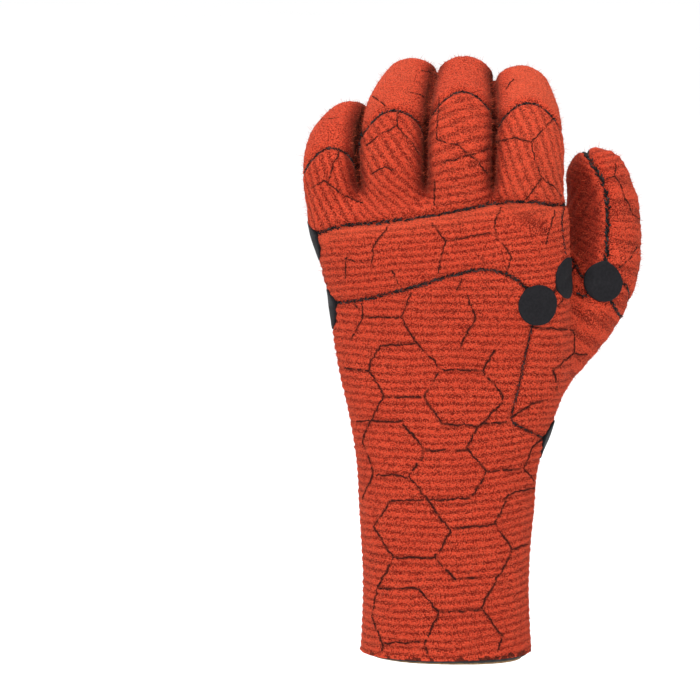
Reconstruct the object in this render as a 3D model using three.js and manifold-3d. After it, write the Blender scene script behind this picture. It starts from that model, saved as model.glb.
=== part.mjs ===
// A diving glove of thick neoprene with its ribbed plush lining turned out.
// Millimetres. +Z runs from the cuff rim to the fingers, the back of the hand faces -Y and the thumb is at +X.
// The origin is the centre of the wrist opening. The fingers curl towards the palm, which faces +Y.
import * as THREE from "three";
import { mergeVertices } from "three/addons/utils/BufferGeometryUtils.js";
import Module from "manifold-3d";

const wasm = await Module();
wasm.setup();

// Driving sizes
const CUFF_WIDTH = 77;
const CUFF_DEPTH = 53;
const HAND_WIDTH = 110;
const HAND_DEPTH = 43;
const HAND_LENGTH = 203; // rim to the crotch beside the middle finger
const FINGER_WIDTH = 29;
const FINGER_LENGTH = 80; // crotch to tip of the middle finger
const THUMB_WIDTH = 34;
const THUMB_LENGTH = 130; // from inside the wrist to the tip
const WALL = 4.5;
const SEAM_GAP = 0.3;
const PATCH_DIAMETER = 19;
const PATCH_THICKNESS = 0.8;

// How finely round forms are cut into flat faces
const HAND_SIDES = 28;
const FINGER_SIDES = 16;
const BODY_STEPS = 7;
const CAP_ANGLES = [25, 47, 68];
const PATCH_SIDES = 20;
const MIDLINE_STEPS = 12;

// Sections of the hand and cuff. up: share of HAND_LENGTH. left, right: shares of the named width.
// back, palm: shares of the named depth, measured from the middle of the glove. turn: degrees about the
// upright axis, by which the index side comes forward.
const HAND_SECTIONS = [
  { up: 0.0, of: "cuff", left: 0.5, right: 0.5, back: 0.5, palm: 0.5, turn: 0 },
  { up: 0.15, of: "cuff", left: 0.488, right: 0.488, back: 0.49, palm: 0.49, turn: 0 },
  { up: 0.3, of: "cuff", left: 0.503, right: 0.503, back: 0.47, palm: 0.47, turn: 0 },
  { up: 0.42, of: "hand", left: 0.365, right: 0.378, back: 0.55, palm: 0.55, turn: 1 },
  { up: 0.51, of: "hand", left: 0.392, right: 0.425, back: 0.53, palm: 0.55, turn: 2 },
  { up: 0.62, of: "hand", left: 0.433, right: 0.475, back: 0.5, palm: 0.53, turn: 4 },
  { up: 0.74, of: "hand", left: 0.467, right: 0.488, back: 0.5, palm: 0.5, turn: 6 },
  { up: 0.85, of: "hand", left: 0.498, right: 0.498, back: 0.52, palm: 0.46, turn: 6 },
  { up: 0.93, of: "hand", left: 0.522, right: 0.49, back: 0.48, palm: 0.42, turn: 6 },
  { up: 0.985, of: "hand", left: 0.525, right: 0.477, back: 0.4, palm: 0.36, turn: 6 },
  { up: 1.02, of: "hand", left: 0.5, right: 0.45, back: 0.28, palm: 0.27, turn: 6 },
];
const HAND_ROUNDNESS = 2.35;

// Fingers, each a tube that leaves the hand, runs straight and then curls towards the palm.
// across, deep, up: where the tube starts inside the hand, in shares of HAND_WIDTH, HAND_DEPTH and HAND_LENGTH.
// length, width: shares of FINGER_LENGTH and FINGER_WIDTH. lean, sway: sideways angle at the hand and at the tip.
// curl: angle towards the palm at the tip. cap: where the fingertip's seam runs, a share of the finger's length.
const FINGERS = [
  { name: "index", across: 0.318, deep: -0.12, up: 0.88, length: 0.925, width: 1.09,
    lean: 1, sway: -10, curl: 62, cap: 0.53 },
  { name: "middle", across: 0.044, deep: -0.06, up: 0.88, length: 1.0, width: 1.07,
    lean: 2, sway: 3, curl: 62, cap: 0.55 },
  { name: "ring", across: -0.192, deep: 0.05, up: 0.865, length: 1.05, width: 1.07,
    lean: -5, sway: 31, curl: 62, cap: 0.5 },
  { name: "little", across: -0.405, deep: 0.16, up: 0.855, length: 0.77, width: 0.93,
    lean: -9, sway: 48, curl: 60, cap: 0.45 },
];
const FINGER_ROOT = 0.3; // hidden stretch inside the hand, share of FINGER_LENGTH
const CURL_START = 0.2; // shares of the finger's own length past the crotch
const CURL_END = 0.6;
const FINGER_DEEP = 0.97; // thickness over width
const TIP_TAPER = 0.9; // width at the tip and at the root, shares of the full width
const ROOT_TAPER = 0.7;
const TAPER_START = 0.45; // where the taper to the tip starts, a share of the tube

// Thumb: where its tube starts inside the wrist, and the angle that it keeps away from the back of the hand
const THUMB = { across: 0.3, deep: 0.13, up: 0.525, away: 11 };
// along: share of THUMB_LENGTH. wide, deep: half sizes, shares of THUMB_WIDTH. lean: sideways angle.
const THUMB_SECTIONS = [
  { along: 0.0, wide: 0.33, deep: 0.38, lean: 16 },
  { along: 0.2, wide: 0.42, deep: 0.46, lean: 36 },
  { along: 0.4, wide: 0.48, deep: 0.51, lean: 36 },
  { along: 0.6, wide: 0.52, deep: 0.5, lean: 10 },
  { along: 0.78, wide: 0.49, deep: 0.46, lean: -2 },
  { along: 1.0, wide: 0.42, deep: 0.4, lean: -24 },
];

// Seams, as points across (share of HAND_WIDTH) and up (share of HAND_LENGTH), seen from the front
const KNUCKLE_SEAM = [[-0.56, 0.945], [-0.44, 0.97], [-0.22, 0.985], [0.0, 1.005], [0.18, 1.025], [0.32, 1.03],
  [0.56, 1.01]];
const BAND_SEAM = [[-0.56, 0.785], [-0.36, 0.808], [-0.16, 0.838], [0.03, 0.872], [0.13, 0.885], [0.24, 0.873],
  [0.31, 0.845], [0.375, 0.79]];
const BACK_THUMB_SEAM = [[0.375, 0.79], [0.34, 0.745], [0.315, 0.685], [0.29, 0.615], [0.27, 0.57], [0.25, 0.53],
  [0.3, 0.515], [0.37, 0.495], [0.42, 0.475]];
const WEB_POINT = [0.515, 0.86];
const PALM_THUMB_SEAM = [[0.515, 0.85], [0.49, 0.83], [0.33, 0.73], [0.205, 0.625], [0.175, 0.54], [0.18, 0.49]];
const THUMB_ROOT_SEAM = [[0.18, 0.49], [0.34, 0.53], [0.41, 0.565], [0.46, 0.61], [0.5, 0.65], [0.56, 0.68]];
const WRIST_SEAM_PALM = [[-0.6, 0.5], [-0.35, 0.505], [0.0, 0.49], [0.18, 0.485]];
const BASE_SEAM_PALM = [[0.18, 0.485], [0.28, 0.445], [0.38, 0.44], [0.42, 0.475]];
const THUMB_LINE = [[0.57, 1.2], [0.6, 1.1], [0.645, 1.0], [0.66, 0.95], [0.65, 0.89], [0.645, 0.6]];
// The lower end of the thumb's two panels, as depth (share of HAND_DEPTH) and up (share of HAND_LENGTH)
const THUMB_FOOT = [[-1.2, 0.84], [0.1, 0.83], [0.45, 0.76], [0.88, 0.66], [1.6, 0.6]];

const GUSSET_DEPTH = 0.26; // the palm gusset starts this deep, share of HAND_DEPTH

// Patches: where on the front view, and the direction they face, as degrees from the back of the hand towards
// the thumb side. deep is the depth of their middle, a share of HAND_DEPTH.
const PATCHES = [
  { name: "patch_back", across: 0.37, up: 0.79, deep: -0.5, around: 14 },
  { name: "patch_web", across: 0.497, up: 0.85, deep: -0.28, around: 62 },
  { name: "patch_thumb", across: 0.648, up: 0.825, deep: 0.1, around: -6 },
  { name: "patch_wrist", across: 0.395, up: 0.475, deep: -0.02, around: 88 },
  { name: "patch_side_low", across: -0.47, up: 0.765, deep: 0.0, around: -88 },
  { name: "patch_side_high", across: -0.53, up: 0.93, deep: 0.06, around: -82 },
  { name: "patch_palm_wrist", across: 0.18, up: 0.487, deep: 0.5, around: 176 },
  { name: "patch_palm_thumb", across: 0.52, up: 0.665, deep: 0.75, around: 155 },
];

const FAR = 400;
const radians = THREE.MathUtils.degToRad;

// Solids

function toSolid(positions, triangles) {
  const volume = triangles.reduce((sum, [a, b, c]) => {
    const [p, q, r] = [positions[a], positions[b], positions[c]];
    return sum + p.dot(new THREE.Vector3().crossVectors(q, r));
  }, 0);
  const outward = volume > 0 ? triangles : triangles.map(([a, b, c]) => [a, c, b]);
  const mesh = new wasm.Mesh({
    numProp: 3,
    vertProperties: new Float32Array(positions.flatMap((p) => [p.x, p.y, p.z])),
    triVerts: new Uint32Array(outward.flat()),
  });
  return new wasm.Manifold(mesh);
}

// Joins rings of equal length into one closed solid, each end closed by a fan round its own middle point
function loft(rings, firstPoint, lastPoint) {
  const sides = rings[0].length;
  const positions = [...rings.flat(), firstPoint, lastPoint];
  const first = positions.length - 2;
  const last = positions.length - 1;
  const top = (rings.length - 1) * sides;
  const triangles = [];
  for (let i = 0; i < sides; i += 1) {
    const j = (i + 1) % sides;
    triangles.push([first, j, i], [last, top + i, top + j]);
    for (let ring = 0; ring < top; ring += sides) {
      triangles.push([ring + i, ring + j, ring + sides + j], [ring + i, ring + sides + j, ring + sides + i]);
    }
  }
  return toSolid(positions, triangles);
}

// An outline in two of the axes, carried along the third from low to high. place turns (u, v, w) into a point.
function prism(outline, low, high, place) {
  const shape = new THREE.Shape(outline.map(([u, v]) => new THREE.Vector2(u, v)));
  const extruded = new THREE.ExtrudeGeometry(shape, { depth: high - low, bevelEnabled: false });
  extruded.deleteAttribute("normal");
  extruded.deleteAttribute("uv");
  const geometry = mergeVertices(extruded);
  const spots = geometry.getAttribute("position");
  const positions = [];
  for (let i = 0; i < spots.count; i += 1) {
    positions.push(place(spots.getX(i), spots.getY(i), spots.getZ(i) + low));
  }
  const index = geometry.getIndex().array;
  const triangles = [];
  for (let i = 0; i < index.length; i += 3) triangles.push([index[i], index[i + 1], index[i + 2]]);
  return toSolid(positions, triangles);
}

const alongY = (u, v, w) => new THREE.Vector3(u, w, v);
const alongX = (u, v, w) => new THREE.Vector3(w, u, v);

function toMesh(name, solid, material) {
  const { vertProperties, triVerts, numProp } = solid.getMesh();
  const geometry = new THREE.BufferGeometry();
  const positions = [];
  for (let i = 0; i < vertProperties.length; i += numProp) {
    positions.push(vertProperties[i], vertProperties[i + 1], vertProperties[i + 2]);
  }
  geometry.setAttribute("position", new THREE.Float32BufferAttribute(positions, 3));
  geometry.setIndex(Array.from(triVerts));
  geometry.computeVertexNormals();
  const mesh = new THREE.Mesh(geometry, material);
  mesh.name = name;
  return mesh;
}

// The largest closed body of a cut, without slivers
function mainBody(solid) {
  return solid.decompose().reduce((best, body) => (body.volume() > best.volume() ? body : best));
}

// The outer form. grow moves its whole surface outwards, or inwards where it is negative.

const power = (value) => Math.sign(value) * Math.abs(value) ** (2 / HAND_ROUNDNESS);

function handForm(grow, openBelow) {
  const rings = HAND_SECTIONS.map(({ up, of, left, right, back, palm, turn }, row) => {
    const width = of === "cuff" ? CUFF_WIDTH : HAND_WIDTH;
    const depth = of === "cuff" ? CUFF_DEPTH : HAND_DEPTH;
    const atTop = row === HAND_SECTIONS.length - 1;
    const z = up * HAND_LENGTH + (atTop ? grow : 0) - (row === 0 && openBelow ? CUFF_DEPTH / 2 : 0);
    const halfWidth = ((left + right) * width) / 2 + grow;
    const middle = ((right - left) * width) / 2;
    return Array.from({ length: HAND_SIDES }, (_, i) => {
      const angle = (i / HAND_SIDES) * 2 * Math.PI;
      const halfDepth = (Math.sin(angle) > 0 ? palm : back) * depth + grow;
      const x = middle + halfWidth * power(Math.cos(angle));
      const y = halfDepth * power(Math.sin(angle)) - x * Math.tan(radians(turn));
      return new THREE.Vector3(x, y, z);
    });
  });
  const middleOf = (ring) => ring.reduce((sum, p) => sum.add(p), new THREE.Vector3()).divideScalar(ring.length);
  return loft(rings, middleOf(rings[0]), middleOf(rings.at(-1)));
}

// A path with its own direction at each length along it, walked in short steps
function walk(start, directionAt, length) {
  const step = length / Math.ceil(length);
  const point = start.clone();
  for (let along = 0; along < length - step / 2; along += step) {
    point.addScaledVector(directionAt(along + step / 2), step);
  }
  return point;
}

function steer(sideways, away) {
  return new THREE.Vector3(Math.sin(sideways), Math.sin(away), Math.cos(sideways) * Math.cos(away)).normalize();
}

// A round-ended tube along a path. widthAt and deepAt give its half sizes before the rounded end.
function tubeForm({ start, directionAt, length, capLength, widthAt, deepAt }, grow) {
  const full = length + grow;
  const cap = capLength + grow;
  const stations = Array.from({ length: BODY_STEPS }, (_, i) => [((full - cap) * i) / (BODY_STEPS - 1), 1]);
  for (const angle of CAP_ANGLES) {
    stations.push([full - cap + cap * Math.sin(radians(angle)), Math.cos(radians(angle))]);
  }
  const rings = stations.map(([along, share]) => {
    const middle = walk(start, directionAt, along);
    const direction = directionAt(along);
    const across = new THREE.Vector3(1, 0, 0).addScaledVector(direction, -direction.x).normalize();
    const deep = new THREE.Vector3().crossVectors(direction, across);
    const shareAlong = Math.min(along / length, 1);
    const halfWidth = (widthAt(shareAlong) + grow) * share;
    const halfDepth = (deepAt(shareAlong) + grow) * share;
    return Array.from({ length: FINGER_SIDES }, (_, i) => {
      const angle = ((i + 0.5) / FINGER_SIDES) * 2 * Math.PI;
      return middle
        .clone()
        .addScaledVector(across, halfWidth * Math.cos(angle))
        .addScaledVector(deep, halfDepth * Math.sin(angle));
    });
  });
  return loft(rings, walk(start, directionAt, 0), walk(start, directionAt, full));
}

function interpolate(table, column, share) {
  const next = table.findIndex((row) => row.along >= share);
  if (next <= 0) return table[Math.max(next, 0)][column];
  const [low, high] = [table[next - 1], table[next]];
  return THREE.MathUtils.mapLinear(share, low.along, high.along, low[column], high[column]);
}

function fingerTube(finger) {
  const root = FINGER_ROOT * FINGER_LENGTH;
  const own = finger.length * FINGER_LENGTH;
  const half = (finger.width * FINGER_WIDTH) / 2;
  const curlStart = root + CURL_START * own;
  const curlEnd = root + CURL_END * own;
  const length = root + own;
  const taper = (share) => 1 - (1 - TIP_TAPER) * THREE.MathUtils.smoothstep(share, TAPER_START, 1)
    - (1 - ROOT_TAPER) * (1 - THREE.MathUtils.smoothstep(share, 0, root / length));
  return {
    start: new THREE.Vector3(finger.across * HAND_WIDTH, finger.deep * HAND_DEPTH, finger.up * HAND_LENGTH),
    directionAt: (along) => {
      const bent = THREE.MathUtils.clamp((along - curlStart) / (curlEnd - curlStart), 0, 1);
      const swayed = THREE.MathUtils.clamp((along - curlStart) / (length - curlStart), 0, 1);
      return steer(radians(THREE.MathUtils.lerp(finger.lean, finger.sway, swayed)), radians(finger.curl * bent));
    },
    length,
    capLength: half * TIP_TAPER,
    widthAt: (share) => half * taper(share),
    deepAt: (share) => half * FINGER_DEEP * taper(share),
  };
}

function thumbTube() {
  return {
    start: new THREE.Vector3(THUMB.across * HAND_WIDTH, THUMB.deep * HAND_DEPTH, THUMB.up * HAND_LENGTH),
    directionAt: (along) => {
      const share = Math.min(along / THUMB_LENGTH, 1);
      return steer(radians(interpolate(THUMB_SECTIONS, "lean", share)), radians(THUMB.away));
    },
    length: THUMB_LENGTH,
    capLength: interpolate(THUMB_SECTIONS, "wide", 1) * THUMB_WIDTH,
    widthAt: (share) => interpolate(THUMB_SECTIONS, "wide", share) * THUMB_WIDTH,
    deepAt: (share) => interpolate(THUMB_SECTIONS, "deep", share) * THUMB_WIDTH,
  };
}

const tubes = FINGERS.map(fingerTube);

function gloveForm(grow, openBelow = false) {
  return [...tubes, thumbTube()].reduce(
    (form, tube) => form.add(tubeForm(tube, grow)),
    handForm(grow, openBelow),
  );
}

// Regions that the glove is cut into. Every cut leaves SEAM_GAP between the two sides.

const scaled = (points) => points.map(([across, up]) => [across * HAND_WIDTH, up * HAND_LENGTH]);

// Depth of the side seams, halfway between back and palm, at the left and right edge of the hand
const SIDE_TURN = Math.tan(radians(5));

function frontHalf(shift) {
  const outline = [[-FAR, SIDE_TURN * FAR + shift], [FAR, -SIDE_TURN * FAR + shift], [FAR, -FAR], [-FAR, -FAR]];
  return prism(outline, -FAR, FAR, (u, v, w) => new THREE.Vector3(u, v, w));
}

// Everything above a seam line
function above(points, shift) {
  const line = scaled(points).map(([x, z]) => [x, z + shift]);
  const [first, last] = [line[0], line.at(-1)];
  const outline = [[-FAR, first[1]], ...line, [FAR, last[1]], [FAR, FAR * 2], [-FAR, FAR * 2]];
  return prism(outline, -FAR, FAR, alongY);
}

// A closed outline with every side moved outwards by shift
function grown(points, shift) {
  const area = THREE.ShapeUtils.area(points.map(([x, y]) => new THREE.Vector2(x, y)));
  const count = points.length;
  const normals = points.map(([x, y], i) => {
    const [nextX, nextY] = points[(i + 1) % count];
    return new THREE.Vector2(nextY - y, x - nextX).normalize().multiplyScalar(Math.sign(area));
  });
  return points.map(([x, y], i) => {
    const [before, after] = [normals[(i + count - 1) % count], normals[i]];
    const corner = before.clone().add(after);
    const reach = (2 * shift) / Math.max(corner.lengthSq(), 0.5);
    return [x + corner.x * reach, y + corner.y * reach];
  });
}

// Neighbouring fingers part along slanted planes, given as [across, up] shares from the hand to past the tips:
// index from middle, middle from ring, ring from little
const PARTINGS = [
  [[0.195, 0.9], [0.195, 1.14], [0.14, 1.3], [0.14, 1.5]],
  [[-0.095, 0.9], [-0.1, 1.5]],
  [[-0.345, 0.9], [-0.345, 1.185], [-0.5, 1.28], [-0.5, 1.5]],
];
const PARTING_SLANT = 0.3;
const THUMB_PARTING = [[0.565, -1], [0.565, 2]]; // between thumb and hand, slanted the other way
const THUMB_PARTING_SLANT = -0.6;

function rightOf(lines, shift, slant = PARTING_SLANT) {
  const slanted = (u, v, w) => new THREE.Vector3(u + slant * w, w, v);
  const line = scaled(lines).map(([x, z]) => [x + shift, z]);
  const outline = [[line[0][0], -FAR], ...line, [line.at(-1)[0], FAR * 2], [FAR, FAR * 2], [FAR, -FAR]];
  return prism(outline, -FAR, FAR, slanted);
}

// The back side of one finger, up to its mid plane, as a prism across the glove
function fingerBack(tube, shift) {
  const line = Array.from({ length: MIDLINE_STEPS + 1 }, (_, i) => {
    const along = (tube.length * i) / MIDLINE_STEPS;
    const point = walk(tube.start, tube.directionAt, along + 0.01);
    const direction = tube.directionAt(along);
    const out = new THREE.Vector2(direction.z, -direction.y).normalize();
    return [point.y + shift * out.x, point.z + shift * out.y];
  });
  const end = tube.directionAt(tube.length);
  const last = line.at(-1);
  const beyond = [last[0] + end.y * FAR, last[1] + end.z * FAR];
  const outline = [[line[0][0], -FAR], ...line, beyond, [beyond[0], FAR * 3], [-FAR, FAR * 3], [-FAR, -FAR]];
  return prism(outline, -FAR, FAR, alongX);
}

// Everything past a plane across the finger at a length along it
function past(tube, along) {
  const middle = walk(tube.start, tube.directionAt, along);
  const direction = tube.directionAt(along);
  const turn = new THREE.Quaternion().setFromUnitVectors(new THREE.Vector3(0, 0, 1), direction);
  const outline = [[-FAR, -FAR], [FAR, -FAR], [FAR, FAR], [-FAR, FAR]];
  return prism(outline, 0, FAR, (u, v, w) => new THREE.Vector3(u, v, w).applyQuaternion(turn).add(middle));
}

// Takes one panel off what is left of the shell and leaves a gap round it
function peel(rest, region, grownRegion) {
  return [mainBody(rest.intersect(region)), rest.subtract(grownRegion)];
}

const lining = new THREE.MeshStandardMaterial({ name: "red_plush", color: 0xc23a1c, roughness: 0.95 });
const patchRubber = new THREE.MeshStandardMaterial({ name: "black_patch", color: 0x1b1b1f, roughness: 0.8 });

function buildPanels() {
  const meshes = [];
  const keep = (name, solid) => meshes.push(toMesh(name, solid, lining));
  const gap = SEAM_GAP;
  let rest = gloveForm(0).subtract(gloveForm(-WALL, true));
  rest = rest.trimByPlane([0, 0, 1], 0);

  const thumbZone = (shift) => {
    const foot = THUMB_FOOT.map(([deep, up]) => [deep * HAND_DEPTH, up * HAND_LENGTH - shift]);
    const overFoot = [[-FAR, foot[0][1]], ...foot, [FAR, foot.at(-1)[1]], [FAR, FAR * 2], [-FAR, FAR * 2]];
    const upright = prism(overFoot, -FAR, FAR, alongX).intersect(
      rightOf(THUMB_PARTING, -shift * 1.2, THUMB_PARTING_SLANT));
    const outline = grown(scaled([[0.56, 0.9], ...PALM_THUMB_SEAM, ...THUMB_ROOT_SEAM.slice(1)]), shift);
    return upright.add(prism(outline, GUSSET_DEPTH * HAND_DEPTH - shift, FAR, alongY));
  };
  let thumb;
  [thumb, rest] = peel(rest, thumbZone(0), thumbZone(gap));
  const outerSide = (shift) => {
    const line = scaled(THUMB_LINE).map(([x, z]) => [x + shift, z]);
    const outline = [...line, [line.at(-1)[0], -FAR], [FAR, -FAR], [FAR, FAR * 2], [line[0][0], FAR * 2]];
    return prism(outline, -FAR, FAR, alongY);
  };
  keep("thumb_outer", mainBody(thumb.intersect(outerSide(0))));
  keep("thumb_inner", mainBody(thumb.subtract(outerSide(-gap))));

  const baseZone = (shift) => {
    const front = grown(scaled([...BACK_THUMB_SEAM, [2, 0.475], [2, 0.9], [0.56, 0.9], WEB_POINT]), shift);
    const palm = grown(scaled([...BASE_SEAM_PALM, [2, 0.475], [2, 0.9], [0.56, 0.9], [0.49, 0.83]]), shift);
    const frontPart = prism(front, -FAR, FAR, alongY).intersect(frontHalf(0.01));
    return frontPart.add(prism(palm, -FAR, FAR, alongY).subtract(frontHalf(-0.01)));
  };
  let piece;
  [piece, rest] = peel(rest, baseZone(0), baseZone(gap));
  keep("thumb_base", piece);

  FINGERS.forEach((finger, i) => {
    const tube = tubes[i];
    const zone = (shift) => {
      let solid = above(KNUCKLE_SEAM, gap / 2 - shift).intersect(fingerBack(tube, shift));
      if (i > 0) solid = solid.subtract(rightOf(PARTINGS[i - 1], -gap / 2 + shift));
      if (i < PARTINGS.length) solid = solid.intersect(rightOf(PARTINGS[i], gap / 2 - shift));
      return solid;
    };
    let back;
    [back, rest] = peel(rest, zone(0), zone(gap));
    const seam = (FINGER_ROOT + finger.cap * finger.length) * FINGER_LENGTH;
    keep(`${finger.name}_fingertip`, mainBody(back.intersect(past(tube, seam + gap))));
    keep(`${finger.name}_finger_back`, mainBody(back.subtract(past(tube, seam))));
  });

  const backBelow = rest.intersect(frontHalf(-gap / 2)).subtract(above(KNUCKLE_SEAM, -gap / 2));
  keep("knuckle_band", mainBody(backBelow.intersect(above(BAND_SEAM, gap / 2))));
  keep("back_panel", mainBody(backBelow.subtract(above(BAND_SEAM, -gap / 2))));
  const palmSide = rest.subtract(frontHalf(gap / 2).subtract(above(KNUCKLE_SEAM, gap / 2)));
  keep("palm_panel", mainBody(palmSide.intersect(above(WRIST_SEAM_PALM, gap / 2))));
  keep("palm_cuff", mainBody(palmSide.subtract(above(WRIST_SEAM_PALM, -gap / 2))));
  return meshes;
}

function buildPatches() {
  const under = gloveForm(SEAM_GAP);
  const over = gloveForm(SEAM_GAP + PATCH_THICKNESS);
  const layer = over.subtract(under);
  return PATCHES.map(({ name, across, up, deep, around }) => {
    const middle = new THREE.Vector3(across * HAND_WIDTH, deep * HAND_DEPTH, up * HAND_LENGTH);
    const facing = new THREE.Vector3(Math.sin(radians(around)), -Math.cos(radians(around)), 0);
    const turn = new THREE.Quaternion().setFromUnitVectors(new THREE.Vector3(0, 0, 1), facing);
    const outline = Array.from({ length: PATCH_SIDES }, (_, i) => {
      const angle = (i / PATCH_SIDES) * 2 * Math.PI;
      return [(PATCH_DIAMETER / 2) * Math.cos(angle), (PATCH_DIAMETER / 2) * Math.sin(angle)];
    });
    const punch = prism(outline, -PATCH_DIAMETER / 2, PATCH_DIAMETER, (u, v, w) =>
      new THREE.Vector3(u, v, w).applyQuaternion(turn).add(middle));
    return toMesh(name, mainBody(layer.intersect(punch)), patchRubber);
  });
}

const glove = new THREE.Group();
glove.name = "diving_glove";
glove.add(...buildPanels(), ...buildPatches());

export default glove;
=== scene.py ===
"""A diving glove whose ribbed plush lining is turned out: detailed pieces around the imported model.

Lengths are millimetres until they are put into a mesh. +Z runs from the cuff rim to the fingers, the back of
the hand faces -Y and the thumb is at +X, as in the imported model.
"""

import math

import bpy
import numpy as np
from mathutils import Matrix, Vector
from mathutils.bvhtree import BVHTree
from mathutils.kdtree import KDTree


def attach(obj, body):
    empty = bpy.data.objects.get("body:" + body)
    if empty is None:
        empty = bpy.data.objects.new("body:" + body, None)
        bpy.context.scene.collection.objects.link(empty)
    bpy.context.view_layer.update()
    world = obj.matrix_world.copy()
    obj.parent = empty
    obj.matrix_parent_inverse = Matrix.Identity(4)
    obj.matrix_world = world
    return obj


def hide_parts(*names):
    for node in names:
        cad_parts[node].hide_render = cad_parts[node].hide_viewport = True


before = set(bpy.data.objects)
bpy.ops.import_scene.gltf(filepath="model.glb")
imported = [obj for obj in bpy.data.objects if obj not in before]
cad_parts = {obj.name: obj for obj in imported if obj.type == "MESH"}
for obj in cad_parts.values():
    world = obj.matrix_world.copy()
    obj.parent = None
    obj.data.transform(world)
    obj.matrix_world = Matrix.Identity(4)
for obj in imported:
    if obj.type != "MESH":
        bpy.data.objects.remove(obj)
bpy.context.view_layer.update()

MM = 0.001
BODY = "root"

# Sizes of the glove, as in the part's source
CUFF_WIDTH = 77
CUFF_DEPTH = 53
HAND_WIDTH = 110
HAND_DEPTH = 43
HAND_LENGTH = 203
FINGER_WIDTH = 29
FINGER_LENGTH = 80
THUMB_WIDTH = 34
THUMB_LENGTH = 130
WALL = 4.5
PATCH_DIAMETER = 19
HAND_ROUNDNESS = 2.35  # power of the superellipse that the hand's sections are
ROUND_POWER = 2 / HAND_ROUNDNESS
FINGER_ROOT = 0.3  # share of FINGER_LENGTH that lies inside the hand
CURL_START = 0.2  # shares of a finger's own length between which it curls
CURL_END = 0.6
TIP_TAPER = 0.9
ROOT_TAPER = 0.7
TAPER_START = 0.45
SOFT_WIDTH = 0.99  # a finger's width under its plush, to the part's
SIDE_TURN = math.tan(math.radians(5))  # slope of the plane between the back and the palm
GUSSET_DEPTH = 0.26

# Up, half widths to the left and right, depths to the back and palm (shares of cuff or hand), turn in degrees
HAND_SECTIONS = [
    (0.0, "cuff", 0.5, 0.5, 0.5, 0.5, 0),
    (0.15, "cuff", 0.488, 0.488, 0.49, 0.49, 0),
    (0.3, "cuff", 0.503, 0.503, 0.47, 0.47, 0),
    (0.42, "hand", 0.365, 0.378, 0.55, 0.55, 1),
    (0.51, "hand", 0.392, 0.425, 0.53, 0.55, 2),
    (0.62, "hand", 0.433, 0.475, 0.5, 0.53, 4),
    (0.74, "hand", 0.467, 0.488, 0.5, 0.5, 6),
    (0.85, "hand", 0.498, 0.498, 0.52, 0.46, 6),
    (0.93, "hand", 0.522, 0.49, 0.48, 0.42, 6),
    (0.985, "hand", 0.525, 0.477, 0.4, 0.36, 6),
    (1.02, "hand", 0.5, 0.45, 0.28, 0.27, 6),
]
# Root across, deep and up (shares of the hand), length and width (shares of FINGER_LENGTH and FINGER_WIDTH),
# lean at the root, lean at the tip and curl in degrees, fingertip seam (share of the finger's length)
FINGERS = {
    "index": (0.318, -0.12, 0.88, 0.925, 1.09, 1, -10, 62, 0.53),
    "middle": (0.041, -0.06, 0.88, 1.0, 1.09, 2, 3, 62, 0.55),
    "ring": (-0.187, 0.05, 0.865, 1.05, 1.09, -4, 30, 62, 0.5),
    "little": (-0.41, 0.16, 0.855, 0.77, 0.94, -9, 48, 60, 0.45),
}
THUMB_START = (0.3, 0.13, 0.525)
THUMB_AWAY = 11
# Along (share of THUMB_LENGTH), half width (share of THUMB_WIDTH), lean in degrees
THUMB_SECTIONS = [(0.0, 0.33, 16), (0.2, 0.42, 36), (0.4, 0.48, 36), (0.6, 0.52, 10), (0.78, 0.49, -2),
                  (1.0, 0.365, -27)]

# Seams, as points across (share of HAND_WIDTH) and up (share of HAND_LENGTH)
KNUCKLE_SEAM = [(-0.56, 0.945), (-0.44, 0.97), (-0.22, 0.985), (0, 1.005), (0.18, 1.025), (0.32, 1.03),
                (0.56, 1.01)]
BAND_SEAM = [(-0.56, 0.785), (-0.36, 0.808), (-0.16, 0.838), (0.03, 0.872), (0.13, 0.885), (0.24, 0.873),
             (0.31, 0.845), (0.375, 0.79)]
BACK_THUMB_SEAM = [(0.375, 0.79), (0.34, 0.745), (0.315, 0.685), (0.29, 0.615), (0.27, 0.57), (0.25, 0.53),
                   (0.3, 0.515), (0.37, 0.495), (0.42, 0.475)]
WEB_POINT = (0.515, 0.86)
PALM_THUMB_SEAM = [(0.515, 0.85), (0.49, 0.83), (0.33, 0.73), (0.205, 0.625), (0.175, 0.54), (0.18, 0.49)]
THUMB_ROOT_SEAM = [(0.34, 0.53), (0.41, 0.565), (0.46, 0.61), (0.5, 0.65), (0.56, 0.68)]
WRIST_SEAM_PALM = [(-0.6, 0.5), (-0.35, 0.505), (0, 0.49), (0.18, 0.485)]
BASE_SEAM_PALM = [(0.18, 0.485), (0.28, 0.445), (0.38, 0.44), (0.42, 0.475)]
THUMB_LINE = [(0.555, 1.125), (0.569, 1.111), (0.601, 1.08), (0.638, 1.046), (0.6545, 1.015), (0.663, 0.979),
              (0.659, 0.9345), (0.65, 0.894), (0.646, 0.874), (0.645, 0.6)]
THUMB_FOOT = [(-1.2, 0.84), (0.1, 0.83), (0.45, 0.76), (0.88, 0.66), (1.6, 0.6)]  # deep, up
THUMB_PARTING = (0.565, -0.6)  # across, slant
SEAM_DROP = 3.0  # the two seams across the back lie this much lower on the soft plush
TIP_SEAM_SAG = 6.5  # a fingertip's seam runs this much further back at the finger's sides
TIP_SEAM_BACK = (2.0, 2.0, 4.0, 2.5)  # and this much further back than in the source, index to little

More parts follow.
